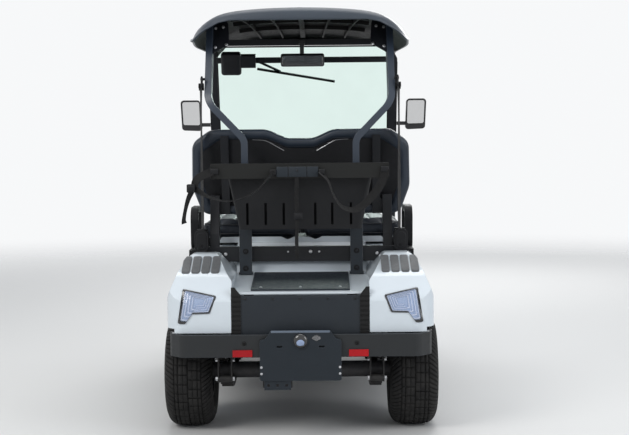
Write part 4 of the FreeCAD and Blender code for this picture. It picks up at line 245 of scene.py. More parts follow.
def finish(name, colour, rough, reliefs, edge_wear_and_highlight, edge, metal=0.0, coat=0.0, specular=0.5, sheen=0.0, vary=0.10,
           dust=0.0, colour_and_shade_zone=None, extra=None):
    """A procedural surface: uneven tone and gloss, relief, softened edges with a lighter tint (wear on most
    looks, a painted highlight on the rack and bumper), and dust below.

    A second colour may come in between two distances along an axis: a real darker colour on the rack's bar,
    painted shade on the bag well panels' outer strips. Extra holds other inputs.
    """
    mat = bpy.data.materials.new(name)
    mat.use_nodes = True
    tree = mat.node_tree
    shader = tree.nodes["Principled BSDF"]
    coords = tree.nodes.new("ShaderNodeTexCoord").outputs["Object"]
    tone = ranged(tree, noise(tree, coords, **TONE_CLOUD), 0.3, 0.7, 0, 1)
    base = mixed(tree, tone, shade(colour, 1 - vary), shade(colour, 1 + vary * 0.6))
    gloss = ranged(tree, noise(tree, coords, **GLOSS_CLOUD), 0.25, 0.75, rough * 0.86, min(1.0, rough * 1.16))
    normal = None
    if edge:
        bevel = tree.nodes.new("ShaderNodeBevel")
        bevel.samples = 4
        bevel.inputs["Radius"].default_value = edge
        normal = bevel.outputs["Normal"]
        if edge_wear_and_highlight:
            # Edges tinted lighter: wear on most looks, a painted highlight on the rack and bumper
            face = tree.nodes.new("ShaderNodeNewGeometry").outputs["Normal"]
            facing = calculate(tree, "DOT_PRODUCT", face, normal, kind="ShaderNodeVectorMath")
            base = mixed(tree, ranged(tree, facing, *WEAR_AND_HIGHLIGHT_FACING, WEAR_AND_HIGHLIGHT_MOST, 0), base, edge_wear_and_highlight)
    # Second colour by distance along an axis: the rack bar's real darker colour; painted shade on the bag
    # well panels
    if colour_and_shade_zone:
        axis, start, end, second = colour_and_shade_zone
        away = calculate(tree, "ABSOLUTE", coordinate(tree, coords, axis))
        base = mixed(tree, ranged(tree, away, start, end, 0, 1), base, second)
    if dust:
        low = ranged(tree, coordinate(tree, coords, "Z"), DUST_FULL, DUST_NONE, dust, 0)
        speck = ranged(tree, noise(tree, coords, **DUST_CLOUD), 0.4, 0.65, 0.2, 1)
        base = mixed(tree, calculate(tree, "MULTIPLY", low, speck), base, DUST_COLOUR)
    for kind, scale, height in reliefs:
        normal = relief(tree, coords, kind, scale, height, normal)
    tree.links.new(base, shader.inputs["Base Color"])
    tree.links.new(gloss, shader.inputs["Roughness"])
    if normal is not None:
        tree.links.new(normal, shader.inputs["Normal"])
    sockets = {"Metallic": metal, "Coat Weight": coat, "Coat Roughness": COAT_ROUGH, "Sheen Weight": sheen,
               "Specular IOR Level": specular, **(extra or {})}
    for socket, value in sockets.items():
        shader.inputs[socket].default_value = value
    return mat


PEEL = [("noise", 320, 0.00006)]
GRAIN = [("grain", 900, 0.0002)]
DULL = {"specular": 0.22}
EDGE = 0.0015
# Name, colour, roughness, reliefs (texture, scale, height), colour of the edges' tint (wear; a painted
# highlight on the rack and bumper), the edges' radius, the rest
LOOKS = [
    ("body_white", (0.70, 0.765, 0.815), 0.22, [("noise", 90, 0.00005)], (0.78, 0.82, 0.85), 0.005,
     {"coat": 0.6, "vary": 0.03}),
    ("trim_slate", (0.018, 0.0235, 0.030), 0.5, GRAIN, (0.10, 0.115, 0.14), 0.003, DULL),
    # On the bag well panels, the strips beyond 0.2515 m out are painted near black as shade in their recess
    ("well_slate", (0.0175, 0.0225, 0.029), 0.46, GRAIN, (0.08, 0.09, 0.11), 0.002,
     {"specular": 0.3, "colour_and_shade_zone": ("X", 0.2515, 0.2535, (0.003, 0.003, 0.0033))}),
    ("trim_black", (0.0085, 0.009, 0.0105), 0.5, [("grain", 700, 0.00022)], (0.035, 0.036, 0.04), 0.003,
     DULL),
    ("roof_slate", (0.037, 0.049, 0.066), 0.36, [("grain", 1100, 0.00012)], None, 0, {}),
    ("roof_under", (0.0085, 0.0085, 0.0083), 0.6, GRAIN, None, 0, {"specular": 0.12}),
    ("pale_lip", (0.10, 0.10, 0.10), 0.4, PEEL, None, EDGE, {}),
    # The next look paints a highlight: the light caught on the plate bracket's top bend
    ("lip_blue", (0.115, 0.145, 0.19), 0.35, PEEL, None, EDGE, {}),
    # The bumper's pale edge tint is a painted highlight along its rounded top edge
    ("bumper_grey", (0.0165, 0.0185, 0.0205), 0.46, [("grain", 620, 0.00025)], (0.085, 0.10, 0.12), 0.006,
     {"specular": 0.35}),
    ("pad_grey", (0.115, 0.12, 0.125), 0.55, [("grain", 190, 0.0011)], None, 0.002, {"vary": 0.35}),
    ("frame_black", (0.012, 0.0135, 0.017), 0.38, PEEL, (0.07, 0.075, 0.085), 0.003, {"specular": 0.3}),
    # The rack's pale edge tint is a painted highlight along the bar's rounded top edge
    ("rack_grey", (0.027, 0.033, 0.040), 0.42, PEEL + [("grain", 800, 0.00012)], (0.30, 0.31, 0.33), 0.003,
     {**DULL, "colour_and_shade_zone": ("Z", 0.95, 1.10, (0.0125, 0.013, 0.0125))}),
    ("strut_blue", (0.030, 0.042, 0.062), 0.34, PEEL, (0.10, 0.12, 0.15), 0.003, {}),
    ("chassis_black", (0.010, 0.010, 0.011), 0.5, PEEL, (0.06, 0.06, 0.06), 0.003, {**DULL, "dust": 0.3}),
    ("steel", (0.46, 0.46, 0.47), 0.34, [("brushed", 500, 0.00005)], None, 0.001,
     {"metal": 1.0, "dust": 0.1}),
    ("cast", (0.045, 0.045, 0.05), 0.6, [("noise", 260, 0.0005)], (0.16, 0.16, 0.16), 0.003,
     {"metal": 0.4, "dust": 0.35}),
    ("battery", (0.016, 0.016, 0.019), 0.5, [("grain", 500, 0.0003)], None, EDGE, DULL),
    ("tyre", (0.0085, 0.0085, 0.009), 0.74, [("noise", 420, 0.00025)], None, 0, {**DULL, "dust": 0.16}),
    ("alloy", (0.030, 0.031, 0.035), 0.3, PEEL, (0.4, 0.4, 0.42), 0.0018, {"metal": 0.6, "coat": 0.3}),
    ("vinyl", (0.037, 0.044, 0.058), 0.42, [("grain", 620, 0.0004)], None, 0,
     {"vary": 0.08, "sheen": 0.1, "specular": 0.35}),
    ("piping", (0.034, 0.038, 0.046), 0.36, GRAIN, None, 0, {}),
    ("shell_black", (0.024, 0.033, 0.048), 0.36, [("grain", 520, 0.0003)], None, 0, {"specular": 0.35}),
    ("shell_panel", (0.0075, 0.008, 0.010), 0.5, [("weave", 260, 0.0004)], None, 0, DULL),
    ("webbing", (0.0075, 0.0075, 0.008), 0.7, [("weave", 420, 0.0005)], None, 0, {**DULL, "sheen": 0.08}),
    ("rubber", (0.0095, 0.0095, 0.010), 0.62, [("noise", 500, 0.0002)], None, EDGE, DULL),
    ("mirror_case", (0.010, 0.010, 0.012), 0.3, PEEL, None, 0.004, {}),
    ("reflector_red", (0.42, 0.004, 0.009), 0.35, [("grain", 380, 0.0009)], None, EDGE,
     {**DULL, "coat": 0.12, "vary": 0.3}),
    ("chrome", (0.75, 0.76, 0.78), 0.12, [("noise", 60, 0.00003)], None, 0.0008, {"metal": 1.0}),
    ("zinc", (0.52, 0.53, 0.55), 0.3, [("noise", 700, 0.00004)], None, 0.0006, {"metal": 1.0}),
    ("mirror", (0.62, 0.62, 0.62), 0.05, [], None, 0, {"metal": 0.85, "vary": 0.02}),
    ("lamp_bowl", (0.33, 0.42, 0.62), 0.25, [("noise", 60, 0.0008)], None, 0, {"metal": 0.3, "vary": 0.25}),
    ("lamp_guide", (0.70, 0.74, 0.86), 0.2, [("noise", 80, 0.0003)], None, 0, {}),
    ("lamp_rim", (0.006, 0.006, 0.007), 0.15, PEEL, None, 0.002, {"coat": 0.8}),
    ("floor_mat", (0.011, 0.011, 0.012), 0.7, [("grain", 300, 0.0006)], None, EDGE, {**DULL, "dust": 0.22}),
    ("glass", (0.80, 0.93, 0.88), 0.01, [], None, 0,
     {"vary": 0.02, "extra": {"Transmission Weight": 1.0, "IOR": 1.1}}),
    ("lens", (0.70, 0.80, 0.95), 0.06, [], None, 0, {"coat": 1.0, "vary": 0.02, "extra": {"Alpha": 0.22}}),
]
looks = {row[0]: finish(*row[:-1], **row[-1]) for row in LOOKS}

NODE_LOOKS = {
    "body_white": "rear_body front_cowl seat_box",
    "trim_slate": "plate_bracket",
    "well_slate": "bag_well_panels",
    "bumper_grey": "rear_bumper front_bumper",
    "pad_grey": "fender_pads",
    "roof_slate": "roof",
    "trim_black": "dash sweater_basket arm_loops arch_liners seat_lid",
    "floor_mat": "floor_pan",
    "chassis_black": "chassis_frame front_axle_beam leaf_springs spring_shackles",
    "cast": "rear_axle drive_motor knuckle_right knuckle_left",
    "steel": "tie_rod",
    "battery": "battery_pack",
    "vinyl": "seat_cushions seat_back_cushion",
    "shell_black": "seat_back_shell",
    "frame_black": "seat_frame front_struts windscreen_rails steering_column pedals",
    "rack_grey": "bag_rack",
    "strut_blue": "rear_struts",
    "rubber": "steering_wheel",
    "glass": "windscreen_glass",
    "mirror_case": "mirrors",
    "reflector_red": "rear_reflectors",
    "lamp_rim": "tail_lamps headlamps",
    "webbing": "bag_straps seat_belts",
    "tyre": "tyre_front_left tyre_front_right tyre_rear_left tyre_rear_right",
    "alloy": "rim_front_left rim_front_right rim_rear_left rim_rear_right",
}
for look, names in NODE_LOOKS.items():
    for name in names.split():
        for slot in nodes[name].material_slots:
            slot.material = looks[look]

# ---- mesh helpers


def dress(obj, look, body):
    obj.data.materials.clear()
    obj.data.materials.append(looks[look])
    obj.data.shade_smooth()
    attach(obj, body)
    return obj


def rounded_path(points, radii, steps=6, closed=True):
    """Corners rounded by arcs, as 2D points: the same count whatever the inset."""
    result = []
    count = len(points)
    for index, (corner, radius) in enumerate(zip(points, radii)):
        here = Vector(corner)
        if radius <= 0 or (not closed and index in (0, count - 1)):
            result.append(here)
            continue
        back = (Vector(points[index - 1]) - here).normalized()
        ahead = (Vector(points[(index + 1) % count]) - here).normalized()
        half = back.angle(ahead) / 2
        reach = radius / math.tan(half)
        centre = here + (back + ahead).normalized() * (radius / math.sin(half))
        start, end = here + back * reach - centre, here + ahead * reach - centre
        turn = start.angle(end)
        for step in range(steps + 1):
            share = step / steps
            arm = (start * math.sin((1 - share) * turn) + end * math.sin(share * turn)) / math.sin(turn)
            result.append(centre + arm)
    return result


def rounded_rectangle(low, high, radius, steps):
    """The outline of a rectangle between two of its corners, with all four rounded."""
    corners = [low, (high[0], low[1]), high, (low[0], high[1])]
    return rounded_path(corners, [radius] * 4, steps)


def resample(line, step):
    """Points every step along a line, each with its distance from the start."""
    lengths = [0.0]
    for before, after in zip(line, line[1:]):
        lengths.append(lengths[-1] + (after - before).length)
    count = int(lengths[-1] / step)
    result = []
    for index in range(count + 1):
        target = lengths[-1] * index / count
        spot = min(max(i for i, length in enumerate(lengths) if length <= target + 1e-12), len(line) - 2)
        span = lengths[spot + 1] - lengths[spot]
        result.append((line[spot].lerp(line[spot + 1], (target - lengths[spot]) / span), target))
    return result


def smooth_line(points, count):
    """Points along a Catmull-Rom line through a few places; each place may carry more numbers."""
    rows = [np.array(p, dtype=float) for p in points]
    rows = [2 * rows[0] - rows[1]] + rows + [2 * rows[-1] - rows[-2]]
    result = []
    spans = len(points) - 1
    for step in range(count + 1):
        spot = min(step / count * spans, spans - 1e-9)
        k, t = int(spot), spot - int(spot)
        a, b, c, d = rows[k:k + 4]
        bend = (2 * a - 5 * b + 4 * c - d) * t * t + (3 * b - a - 3 * c + d) * t ** 3
        result.append(0.5 * (2 * b + (c - a) * t + bend))
    return result


def disc(radius, steps=10):
    return [(radius * math.cos(2 * math.pi * k / steps), radius * math.sin(2 * math.pi * k / steps))
            for k in range(steps)]


def ribbon(wide, thick):
    """Section of a strap: thicker selvedges, rounded edges."""
    w, t = wide / 2, thick / 2
    half = [(-w, -t * 0.5), (-w + t, -t), (-w + 2.4 * t, -t * 0.8), (w - 2.4 * t, -t * 0.8), (w - t, -t),
            (w, -t * 0.5)]
    return half + [(-x, -y) for x, y in half]


def middle_of(points):
    return Vector((sum(p[0] for p in points), sum(p[1] for p in points))) / len(points)


def upright(across, up, depth):
    return Vector((across, depth, up))


def at(place, direction=(0, 0, 1)):
    """A matrix that stands a form made about the Z axis at a place, along a direction."""
    return Matrix.Translation(place) @ Vector(direction).to_track_quat("Z", "Y").to_matrix().to_4x4()


def surface_of(mesh):
    return BVHTree.FromPolygons([v.co for v in mesh.vertices], [tuple(p.vertices) for p in mesh.polygons])


class Shape:
    """Verts and faces gathered for one piece."""

    def __init__(self):
        self.verts, self.faces = [], []

    def add(self, form, matrix=None):
        verts, faces = form
        start = len(self.verts)
        self.verts += [matrix @ Vector(v) if matrix else Vector(v) for v in verts]
        self.faces += [tuple(start + index for index in face) for face in faces]
        return self

    def both(self, form, matrix=None):
        """Add a form and its mirror image on the cart's other side."""
        start = len(self.verts)
        self.add(form, matrix)
        flipped = [(-v.x, v.y, v.z) for v in self.verts[start:]]
        return self.add((flipped, [tuple(reversed(face)) for face in form[1]]))

    def piece(self, name, look, slot, body="chassis", crease=0.6):
        obj = dress(add_object(name, mesh_of(name, self.verts, self.faces)), look, body)
        obj.data.set_sharp_from_angle(angle=crease)
        return obj


def loft(rings, close_start=False, close_end=False):
    """Faces between rings of equal count; verts come ring by ring."""
    count = len(rings[0])
    verts = [point for ring in rings for point in ring]
    faces = []
    for row in range(len(rings) - 1):
        for index in range(count):
            after = (index + 1) % count
            faces.append((row * count + index, row * count + after,
                          (row + 1) * count + after, (row + 1) * count + index))
    if close_start:
        faces.append(tuple(reversed(range(count))))
    if close_end:
        faces.append(tuple(range((len(rings) - 1) * count, len(rings) * count)))
    return verts, faces


def lathe(profile, steps=24, scale=1.0):
    """A turned form about Z from points (radius, height), its ends closed."""
    rings = [[(x, y, height * scale) for x, y in disc(max(radius * scale, 1e-5), steps)]
             for radius, height in profile]
    return loft(rings, close_start=True, close_end=True)


def hex_head(radius):
    """A flanged hexagon head."""
    flange = lathe([(1.25, 0), (1.25, 0.135), (1.02, 0.225)], 20, radius)
    crown = lathe([(1, 0.15), (1, 0.645), (0.86, 0.75), (0.4, 0.75), (0.36, 0.675)], 6, radius)
    head = Shape().add(flange).add(crown)
    return head.verts, head.faces


def dome_head(radius):
    """A button head with a socket."""
    return lathe([(1, 0), (0.97, 0.2), (0.8, 0.42), (0.45, 0.52), (0.4, 0.5), (0.36, 0.2)], 20, radius)


def soft_box(low, high, radius=0.002, segments=2):
    """A box with rounded edges."""
    bm = bmesh.new()
    bmesh.ops.create_cube(bm, size=1.0)
    middle = (Vector(low) + Vector(high)) / 2
    extent = Vector(high) - Vector(low)
    for vert in bm.verts:
        vert.co = Vector([middle[a] + vert.co[a] * extent[a] for a in range(3)])
    radius = min(radius, min(abs(e) for e in extent) * 0.45)
    bmesh.ops.bevel(bm, geom=list(bm.edges), offset=radius, segments=segments, profile=0.5, affect="EDGES")
    bm.verts.index_update()
    form = ([v.co.copy() for v in bm.verts], [tuple(v.index for v in f.verts) for f in bm.faces])
    bm.free()
    return form


def plate_form(outline, near, far, place=upright, edge=0.0008):
    """A flat outline carried between two depths by place(across, up, depth), with a small chamfer."""
    middle = middle_of(outline)
    inner = [Vector(p) + (middle - Vector(p)).normalized() * edge for p in outline]
    rings = [[place(x, z, depth) for x, z in line]
             for line, depth in ((inner, near), (outline, near + edge), (outline, far))]
    return loft(rings, close_start=True, close_end=True)


def sweep(points, outline, across, closed=False):
    """An outline (aside, out) carried along points; across gives the outline's aside direction at each."""
    rings = []
    count = len(points)
    for index, point in enumerate(points):
        before = points[index - 1] if index or closed else point
        after = points[(index + 1) % count] if index < count - 1 or closed else point
        along = (Vector(after) - Vector(before)).normalized()
        aside = Vector(across[index] if isinstance(across, list) else across)
        aside = (aside - along * aside.dot(along)).normalized()
        out = along.cross(aside)
        rings.append([Vector(point) + aside * a + out * o for a, o in outline])
    if closed:
        rings.append(rings[0])
    return loft(rings, close_start=not closed, close_end=not closed)


# ---- tyres

TYRE_OUTER, TYRE_HALF, GROOVE, TREAD_END = 0.245, 0.1075, 0.0065, 0.124
CROWN_DROP, CROWN_REACH = 0.0018, 0.08
CARCASS_ROWS, CARCASS_TURNS = 46, 144
BEAD_LINES = ((0.142, 0.148), (0.158, 0.161))  # raised rings on the sidewall, by distance from the crown
BLOCK_EDGE, BLOCK_GAP, BLOCKS_ROUND = 0.0014, 0.0042, 36
RIB_BLOCKS = [  # from, to across the tread, slant, cells across and round
    (0.0024, 0.0205, 0, (2, 3)), (0.0214, 0.0405, 0, (2, 3)), (0.0446, 0.0570, 0.6, (1, 3))]
SHOULDER_FROM, SHOULDER_TO, SHOULDER_SLANT = 0.0612, TREAD_END - 0.003, 2.4

tyre_profile = resample(rounded_path(
    [(0.0, TYRE_OUTER), (TYRE_HALF - 0.014, TYRE_OUTER), (TYRE_HALF, 0.186), (0.080, 0.139), (0.080, 0.1285)],
    [0, 0.052, 0.046, 0, 0], steps=10, closed=False), 0.004)


def on_tyre(across, out=0.0):
    """Point (x, radius) on the tyre's outer line at a distance from the crown, raised by out."""
    side = -1 if across < 0 else 1
    distance = abs(across)
    index = min(int(distance / tyre_profile[-1][1] * (len(tyre_profile) - 1)), len(tyre_profile) - 2)
    (first, start), (second, end) = tyre_profile[index], tyre_profile[index + 1]
    point = first.lerp(second, (distance - start) / (end - start))
    along = (second - first).normalized()
    normal = Vector((along.y, -along.x))
    if normal.dot(point - Vector((0, 0.17))) < 0:
        normal = -normal
    crown = CROWN_DROP * min(distance / CROWN_REACH, 1) ** 2
    point = point + normal * (out - (crown if point.y > 0.2 else 0))
    return Vector((side * point.x, point.y))


def around(point, angle):
    """Turn a profile point (x, radius) about the X axis."""
    return (point.x, -point.y * math.sin(angle), point.y * math.cos(angle))


def tyre_mesh():
    """Carcass with grooves between blocks: ribs of blocks and slashed shoulders."""
    verts, faces, rows = [], [], []
    for index in range(-CARCASS_ROWS, CARCASS_ROWS + 1):
        across = tyre_profile[-1][1] * index / CARCASS_ROWS
        depth = GROOVE if abs(across) < TREAD_END - 0.01 else 0.0
        ridge = 0.0012 if any(low < abs(across) < high for low, high in BEAD_LINES) else 0.0
        rows.append(on_tyre(across, ridge - depth))
    count = len(rows)
    for turn in range(CARCASS_TURNS):
        verts += [around(point, 2 * math.pi * turn / CARCASS_TURNS) for point in rows]
        for index in range(count - 1):
            a, b = turn * count + index, ((turn + 1) % CARCASS_TURNS) * count + index
            faces.append((a, a + 1, b + 1, b))

    def block(s0, s1, a0, a1, slant, cells):
        """One tread block between two distances across and two angles."""
        start = len(verts)
        wide, long = cells
        grids = []
        for inset, out in ((-0.4, -GROOVE - 0.001), (0.0, -0.0014), (1.0, 0.0)):
            draw, draw_turn = BLOCK_EDGE * inset, BLOCK_EDGE / TYRE_OUTER * inset
            grid = {}
            for i in range(wide + 1):
                for j in range(long + 1):
                    s = s0 + draw + (s1 - s0 - 2 * draw) * i / wide
                    a = a0 + draw_turn + (a1 - a0 - 2 * draw_turn) * j / long + slant * (s - s0)
                    grid[i, j] = around(on_tyre(s, out), a)
            grids.append(grid)
        rim = ([(i, 0) for i in range(wide)] + [(wide, j) for j in range(long)]
               + [(i, long) for i in range(wide, 0, -1)] + [(0, j) for j in range(long, 0, -1)])
        for grid in grids[:2]:
            verts.extend(grid[key] for key in rim)
        n = len(rim)
        top = {key: start + 2 * n + index for index, key in enumerate(grids[2])}
        verts.extend(grids[2].values())
        for k in range(n):
            m = (k + 1) % n
            faces.append((start + k, start + m, start + n + m, start + n + k))
            faces.append((start + n + k, start + n + m, top[rim[m]], top[rim[k]]))
        for i in range(wide):
            for j in range(long):
                faces.append((top[i, j], top[i + 1, j], top[i + 1, j + 1], top[i, j + 1]))

    pitch = 2 * math.pi / BLOCKS_ROUND
    gap = BLOCK_GAP / TYRE_OUTER
    for turn in range(BLOCKS_ROUND):
        for side in (-1, 1):
            base = (turn + (0.5 if side > 0 else 0)) * pitch
            for start, end, slant, cells in RIB_BLOCKS:
                low, high = (start, end) if side > 0 else (-end, -start)
                block(low, high, base, base + pitch - gap, slant * side, cells)
            low, high = (SHOULDER_FROM, SHOULDER_TO) if side > 0 else (-SHOULDER_TO, -SHOULDER_FROM)
            for half in (0, 0.5):
                base = (turn + half) * pitch
                block(low, high, base, base + pitch / 2 - gap * 0.9, SHOULDER_SLANT * side, (6, 1))
    data = mesh_of("tyre", verts, faces)
    bm = bmesh.new()
    bm.from_mesh(data)
    bmesh.ops.recalc_face_normals(bm, faces=bm.faces)
    bm.to_mesh(data)
    bm.free()
    return data


tyre_data = tyre_mesh()
for axle, axle_y in AXLE_Y.items():
    for side, sign in SIDES.items():
        tyre = add_object("tread_%s_%s" % (axle, side), tyre_data.copy())
        flip = Matrix.Rotation(math.pi, 4, "Z") if sign < 0 else Matrix.Identity(4)
        tyre.matrix_world = Matrix.Translation((sign * TYRE_X, axle_y, AXLE_Z)) @ flip
        dress(tyre, "tyre", "wheel_%s_%s" % (axle, side))
        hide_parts("tyre_%s_%s" % (axle, side))

# ---- wheels' fittings: profiles of radius and height outward from the wheel's middle

NUT = [(0.0078, 0), (0.0078, 0.008), (0.0062, 0.0115), (0.003, 0.0125)]
NUT_CIRCLE, NUT_FOOT = 0.0285, 0.0602
RIM_BEAD = [(0.1276, 0.0880), (0.1270, 0.0894), (0.1210, 0.0896), (0.1200, 0.0884)]
HUB_CAP = [(0.0188, 0.0602), (0.0188, 0.063), (0.0165, 0.0672), (0.0100, 0.0690), (0.004, 0.0695)]
VALVE = [(0.0045, 0), (0.0035, 0.004), (0.0035, 0.022), (0.0026, 0.026)]

for axle, axle_y in AXLE_Y.items():
    for side, sign in SIDES.items():
        body = "wheel_%s_%s" % (axle, side)
        outward = Matrix.Rotation(math.pi / 2 * sign, 4, "Y")
        hub = Matrix.Translation((sign * TYRE_X, axle_y, AXLE_Z)) @ outward
        fittings, cap = Shape(), Shape()
        for k in range(4):
            angle = math.pi / 4 + k * math.pi / 2
            spot = (NUT_CIRCLE * math.cos(angle), NUT_CIRCLE * math.sin(angle), NUT_FOOT)
            fittings.add(lathe(NUT, 6), hub @ Matrix.Translation(spot))
        turns = [2 * math.pi * k / 72 for k in range(73)]
        fittings.add(loft([[(r * math.cos(a), r * math.sin(a), h) for r, h in RIM_BEAD] for a in turns]), hub)
        fittings.piece("wheel_fittings_%s_%s" % (axle, side), "chrome", "steel", body)
        cap.add(lathe(HUB_CAP, 32), hub)
        cap.add(lathe(VALVE, 12), hub @ Matrix.Translation((0.1060, 0.0, 0.0450)))
        cap.piece("centre_cap_%s_%s" % (axle, side), "rubber", "trim_black", body)

# ---- lamps: outlines across and up in mm, and rings as the outline's share and how far out of the body

TAIL = [(356, 616), (500, 645), (521, 501), (490, 499), (460, 541), (385, 543)]
HEAD = [(300, 560), (500, 590), (520, 660), (470, 680), (290, 620)]
LAMP_CORNER, LAMP_SHIFT, LAMP_RISE = 0.007, -0.022, 0.036
FRAME_RINGS = [(1.0, -0.006), (1.0, 0.0006), (0.985, 0.0016), (0.90, 0.0010), (0.875, -0.008)]
BOWL_RINGS = [(0.885, -0.0065), (0.80, -0.0078), (0.78, -0.0115), (0.64, -0.0125), (0.62, -0.0165),
              (0.48, -0.0175), (0.46, -0.0215), (0.32, -0.0225), (0.30, -0.0265), (0.10, -0.0275)]
LENS_RINGS = [(0.895, -0.004), (0.885, -0.0004), (0.7, 0.0006), (0.4, 0.0010), (0.1, 0.0010)]
GUIDES = [(0.84, -0.0045), (0.69, -0.0085), (0.53, -0.0135), (0.37, -0.0185)]
GUIDE_SECTION = [(0.022, 0.003), (0.012, 0), (-0.012, 0), (-0.022, 0.003)]


def lamp(name, node, corners, sign, ahead):
    """Frame, stepped bowl, clear lens and light guides in a lamp's hole; ahead is 1 in front, -1 behind."""
    surface = surface_of(nodes[node].data)
    outline = rounded_path([Vector((x * sign / 1000, z / 1000)) for x, z in corners],
                           [LAMP_CORNER] * len(corners), 5)
    centre = middle_of(outline)

    def ring(share, out):
        """The outline drawn in to a share of itself, moved up and inward, and laid on the CAD lamp."""
        laid = []
        for corner in outline:
            spot = centre + (corner - centre) * share
            spot += Vector((LAMP_SHIFT * sign * (1 - share), LAMP_RISE * (1 - share)))
            for step in range(40):
                near = spot.lerp(centre, step * 0.012)
                hit = surface.ray_cast(Vector((near.x, ahead * 1.5, near.y)), Vector((0, -ahead, 0)))[0]
                if hit:
                    break
            laid.append(Vector((spot.x, hit.y + ahead * out, spot.y)))
        return laid

    frame_form = loft([ring(*row) for row in FRAME_RINGS])
    Shape().add(frame_form).piece(name + "_frame", "lamp_rim", "lamp_clear")
    bowl = Shape().add(loft([ring(*row) for row in BOWL_RINGS], close_end=True))
    bowl.piece(name + "_bowl", "lamp_bowl", "lamp_front" if ahead > 0 else "lamp_clear")
    lens = Shape().add(loft([ring(*row) for row in LENS_RINGS], close_end=True))
    lens.piece(name + "_lens", "lens", "lamp_clear")
    guides = Shape()
    for share, deep in GUIDES:
        guides.add(loft([ring(share + wider, deep - back) for wider, back in GUIDE_SECTION]))
    return guides.piece(name + "_guide", "lamp_guide", "lamp_front")


for side, sign in SIDES.items():
    tail_guide = lamp("tail_lamp_" + side, "tail_lamps", TAIL, sign, -1)
    head_guide = lamp("headlamp_" + side, "headlamps", HEAD, sign, 1)
    if side == "left":
        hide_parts("tail_lamps")
        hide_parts("headlamps")

# ---- seat back

LEAN = math.radians(12)
BACK_FOOT = Vector((0, -0.655, 0.930))
BACK_TALL = 0.395 / math.cos(LEAN) - 0.008
BACK_RADII = [0.05, 0.12, 0.06, 0.07, 0.12, 0.09]
# Rings of the moulding, its panel and the padding's start: inset of the outline, forward of the rear face
MOULDING_RINGS = [(0.006, 0.0338), (0.0, 0.031), (0.0, 0.016), (0.0025, 0.008), (0.008, 0.0026),
                  (0.016, 0.0003), (0.026, 0.0003), (0.034, 0.0026), (0.039, 0.0065), (0.0415, 0.0098)]
PANEL_RINGS = [(0.0412, 0.0125), (0.0415, 0.0094), (0.046, 0.0088), (0.060, 0.0084), (0.085, 0.0078)]
PADDING_RINGS = [(0.034, 0.046), (0.030, 0.056), (0.030, 0.094), (0.040, 0.106)]
STITCH_PITCH, STITCH_HALF, STITCH_RADIUS = 0.0085, 0.0026, 0.0006
BEAD_LINE = [(0.218, 0.352), (0.160, 0.347), (0.112, 0.322), (0.075, 0.300)]


def on_back(x, up, deep):
    """A place on the seat back: across, up its slope from the foot, and forward of its rear face."""
    return BACK_FOOT + Vector((x, deep * math.cos(LEAN) - up * math.sin(LEAN),
                               deep * math.sin(LEAN) + up * math.cos(LEAN)))


def back_ring(inset, steps=7):
    """The seat back's two-humped outline, drawn in by an inset."""
    half, low, top = 0.5 - inset, inset, BACK_TALL - inset
    right = [(half - 0.046, low), (half, low + 0.13), (half - 0.006, top - 0.06), (half - 0.09, top),
             (0.15, top), (0.06, top - 0.042)]
    radii = [max(r - inset * 0.6, 0.012) for r in BACK_RADII]
    return rounded_path(right + [(-x, z) for x, z in reversed(right)], radii + radii[::-1], steps)


def back_rings(rows):
    rings = [[on_back(x, up, deep) for x, up in back_ring(inset)] for inset, deep in rows]
    return Shape().add(loft(rings, close_start=True, close_end=True))


moulding = back_rings(MOULDING_RINGS).piece("seat_back_moulding", "shell_black", "shell_black", crease=1.2)
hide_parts("seat_back_shell")
back_rings(PANEL_RINGS).piece("seat_back_panel", "shell_panel", "shell_black", crease=1.2)

stitches = Shape()
for inset, deep in ((0.0095, 0.0013), (0.0345, 0.0019)):
    line = back_ring(inset, 10)
    travelled, target = 0.0, 0.0
    for a, b in zip(line, line[1:] + line[:1]):
        length = (b - a).length
        ahead = (b - a).normalized() * STITCH_HALF
        while target < travelled + length:
            spot = a.lerp(b, (target - travelled) / length)
            ends = [on_back(*(spot - ahead), deep), on_back(*(spot + ahead), deep)]
            stitches.add(sweep(ends, disc(STITCH_RADIUS, 5), (0, 1, 0)))
            target += STITCH_PITCH
        travelled += length
stitches.piece("seat_back_stitches", "piping", "vinyl")

beads = Shape()
for side in (-1, 1):
    line = [on_back(side * x, up, 0.0080) for x, up in smooth_line(BEAD_LINE, 24)]
    beads.add(sweep(line, disc(0.0013, 6), (0, 1, 0)))
beads.piece("seat_back_beads", "zinc", "steel")

# ---- padded seats

VOXEL, PRESSURE, FRAMES = 0.0065, 4, 20
CUSHION_X = (0.013, 0.470)
CUSHION_CAP, BACK_CAP = 0.024, 0.026
CUSHION_CORNER, PIPE_RADIUS, PIPE_HEIGHTS = 0.06, 0.0033, (0.026, 0.082)
SEAM_WIDTH, SEAM_FACING = 0.0042, 0.35
BACK_CHANNELS = [side * x for side in (-1, 1) for x in (0.12, 0.19, 0.26, 0.33, 0.40)]


def settle(obj):
    """Apply an object's modifiers to its mesh."""
    bpy.context.view_layer.update()
    data = bpy.data.meshes.new_from_object(obj.evaluated_get(bpy.context.evaluated_depsgraph_get()))
    obj.modifiers.clear()
    obj.data = data


def values_of(mesh, name):
    """A vector of every vertex, as rows."""
    values = np.empty(len(mesh.vertices) * 3)
    mesh.vertices.foreach_get(name, values)
    return values.reshape(-1, 3)


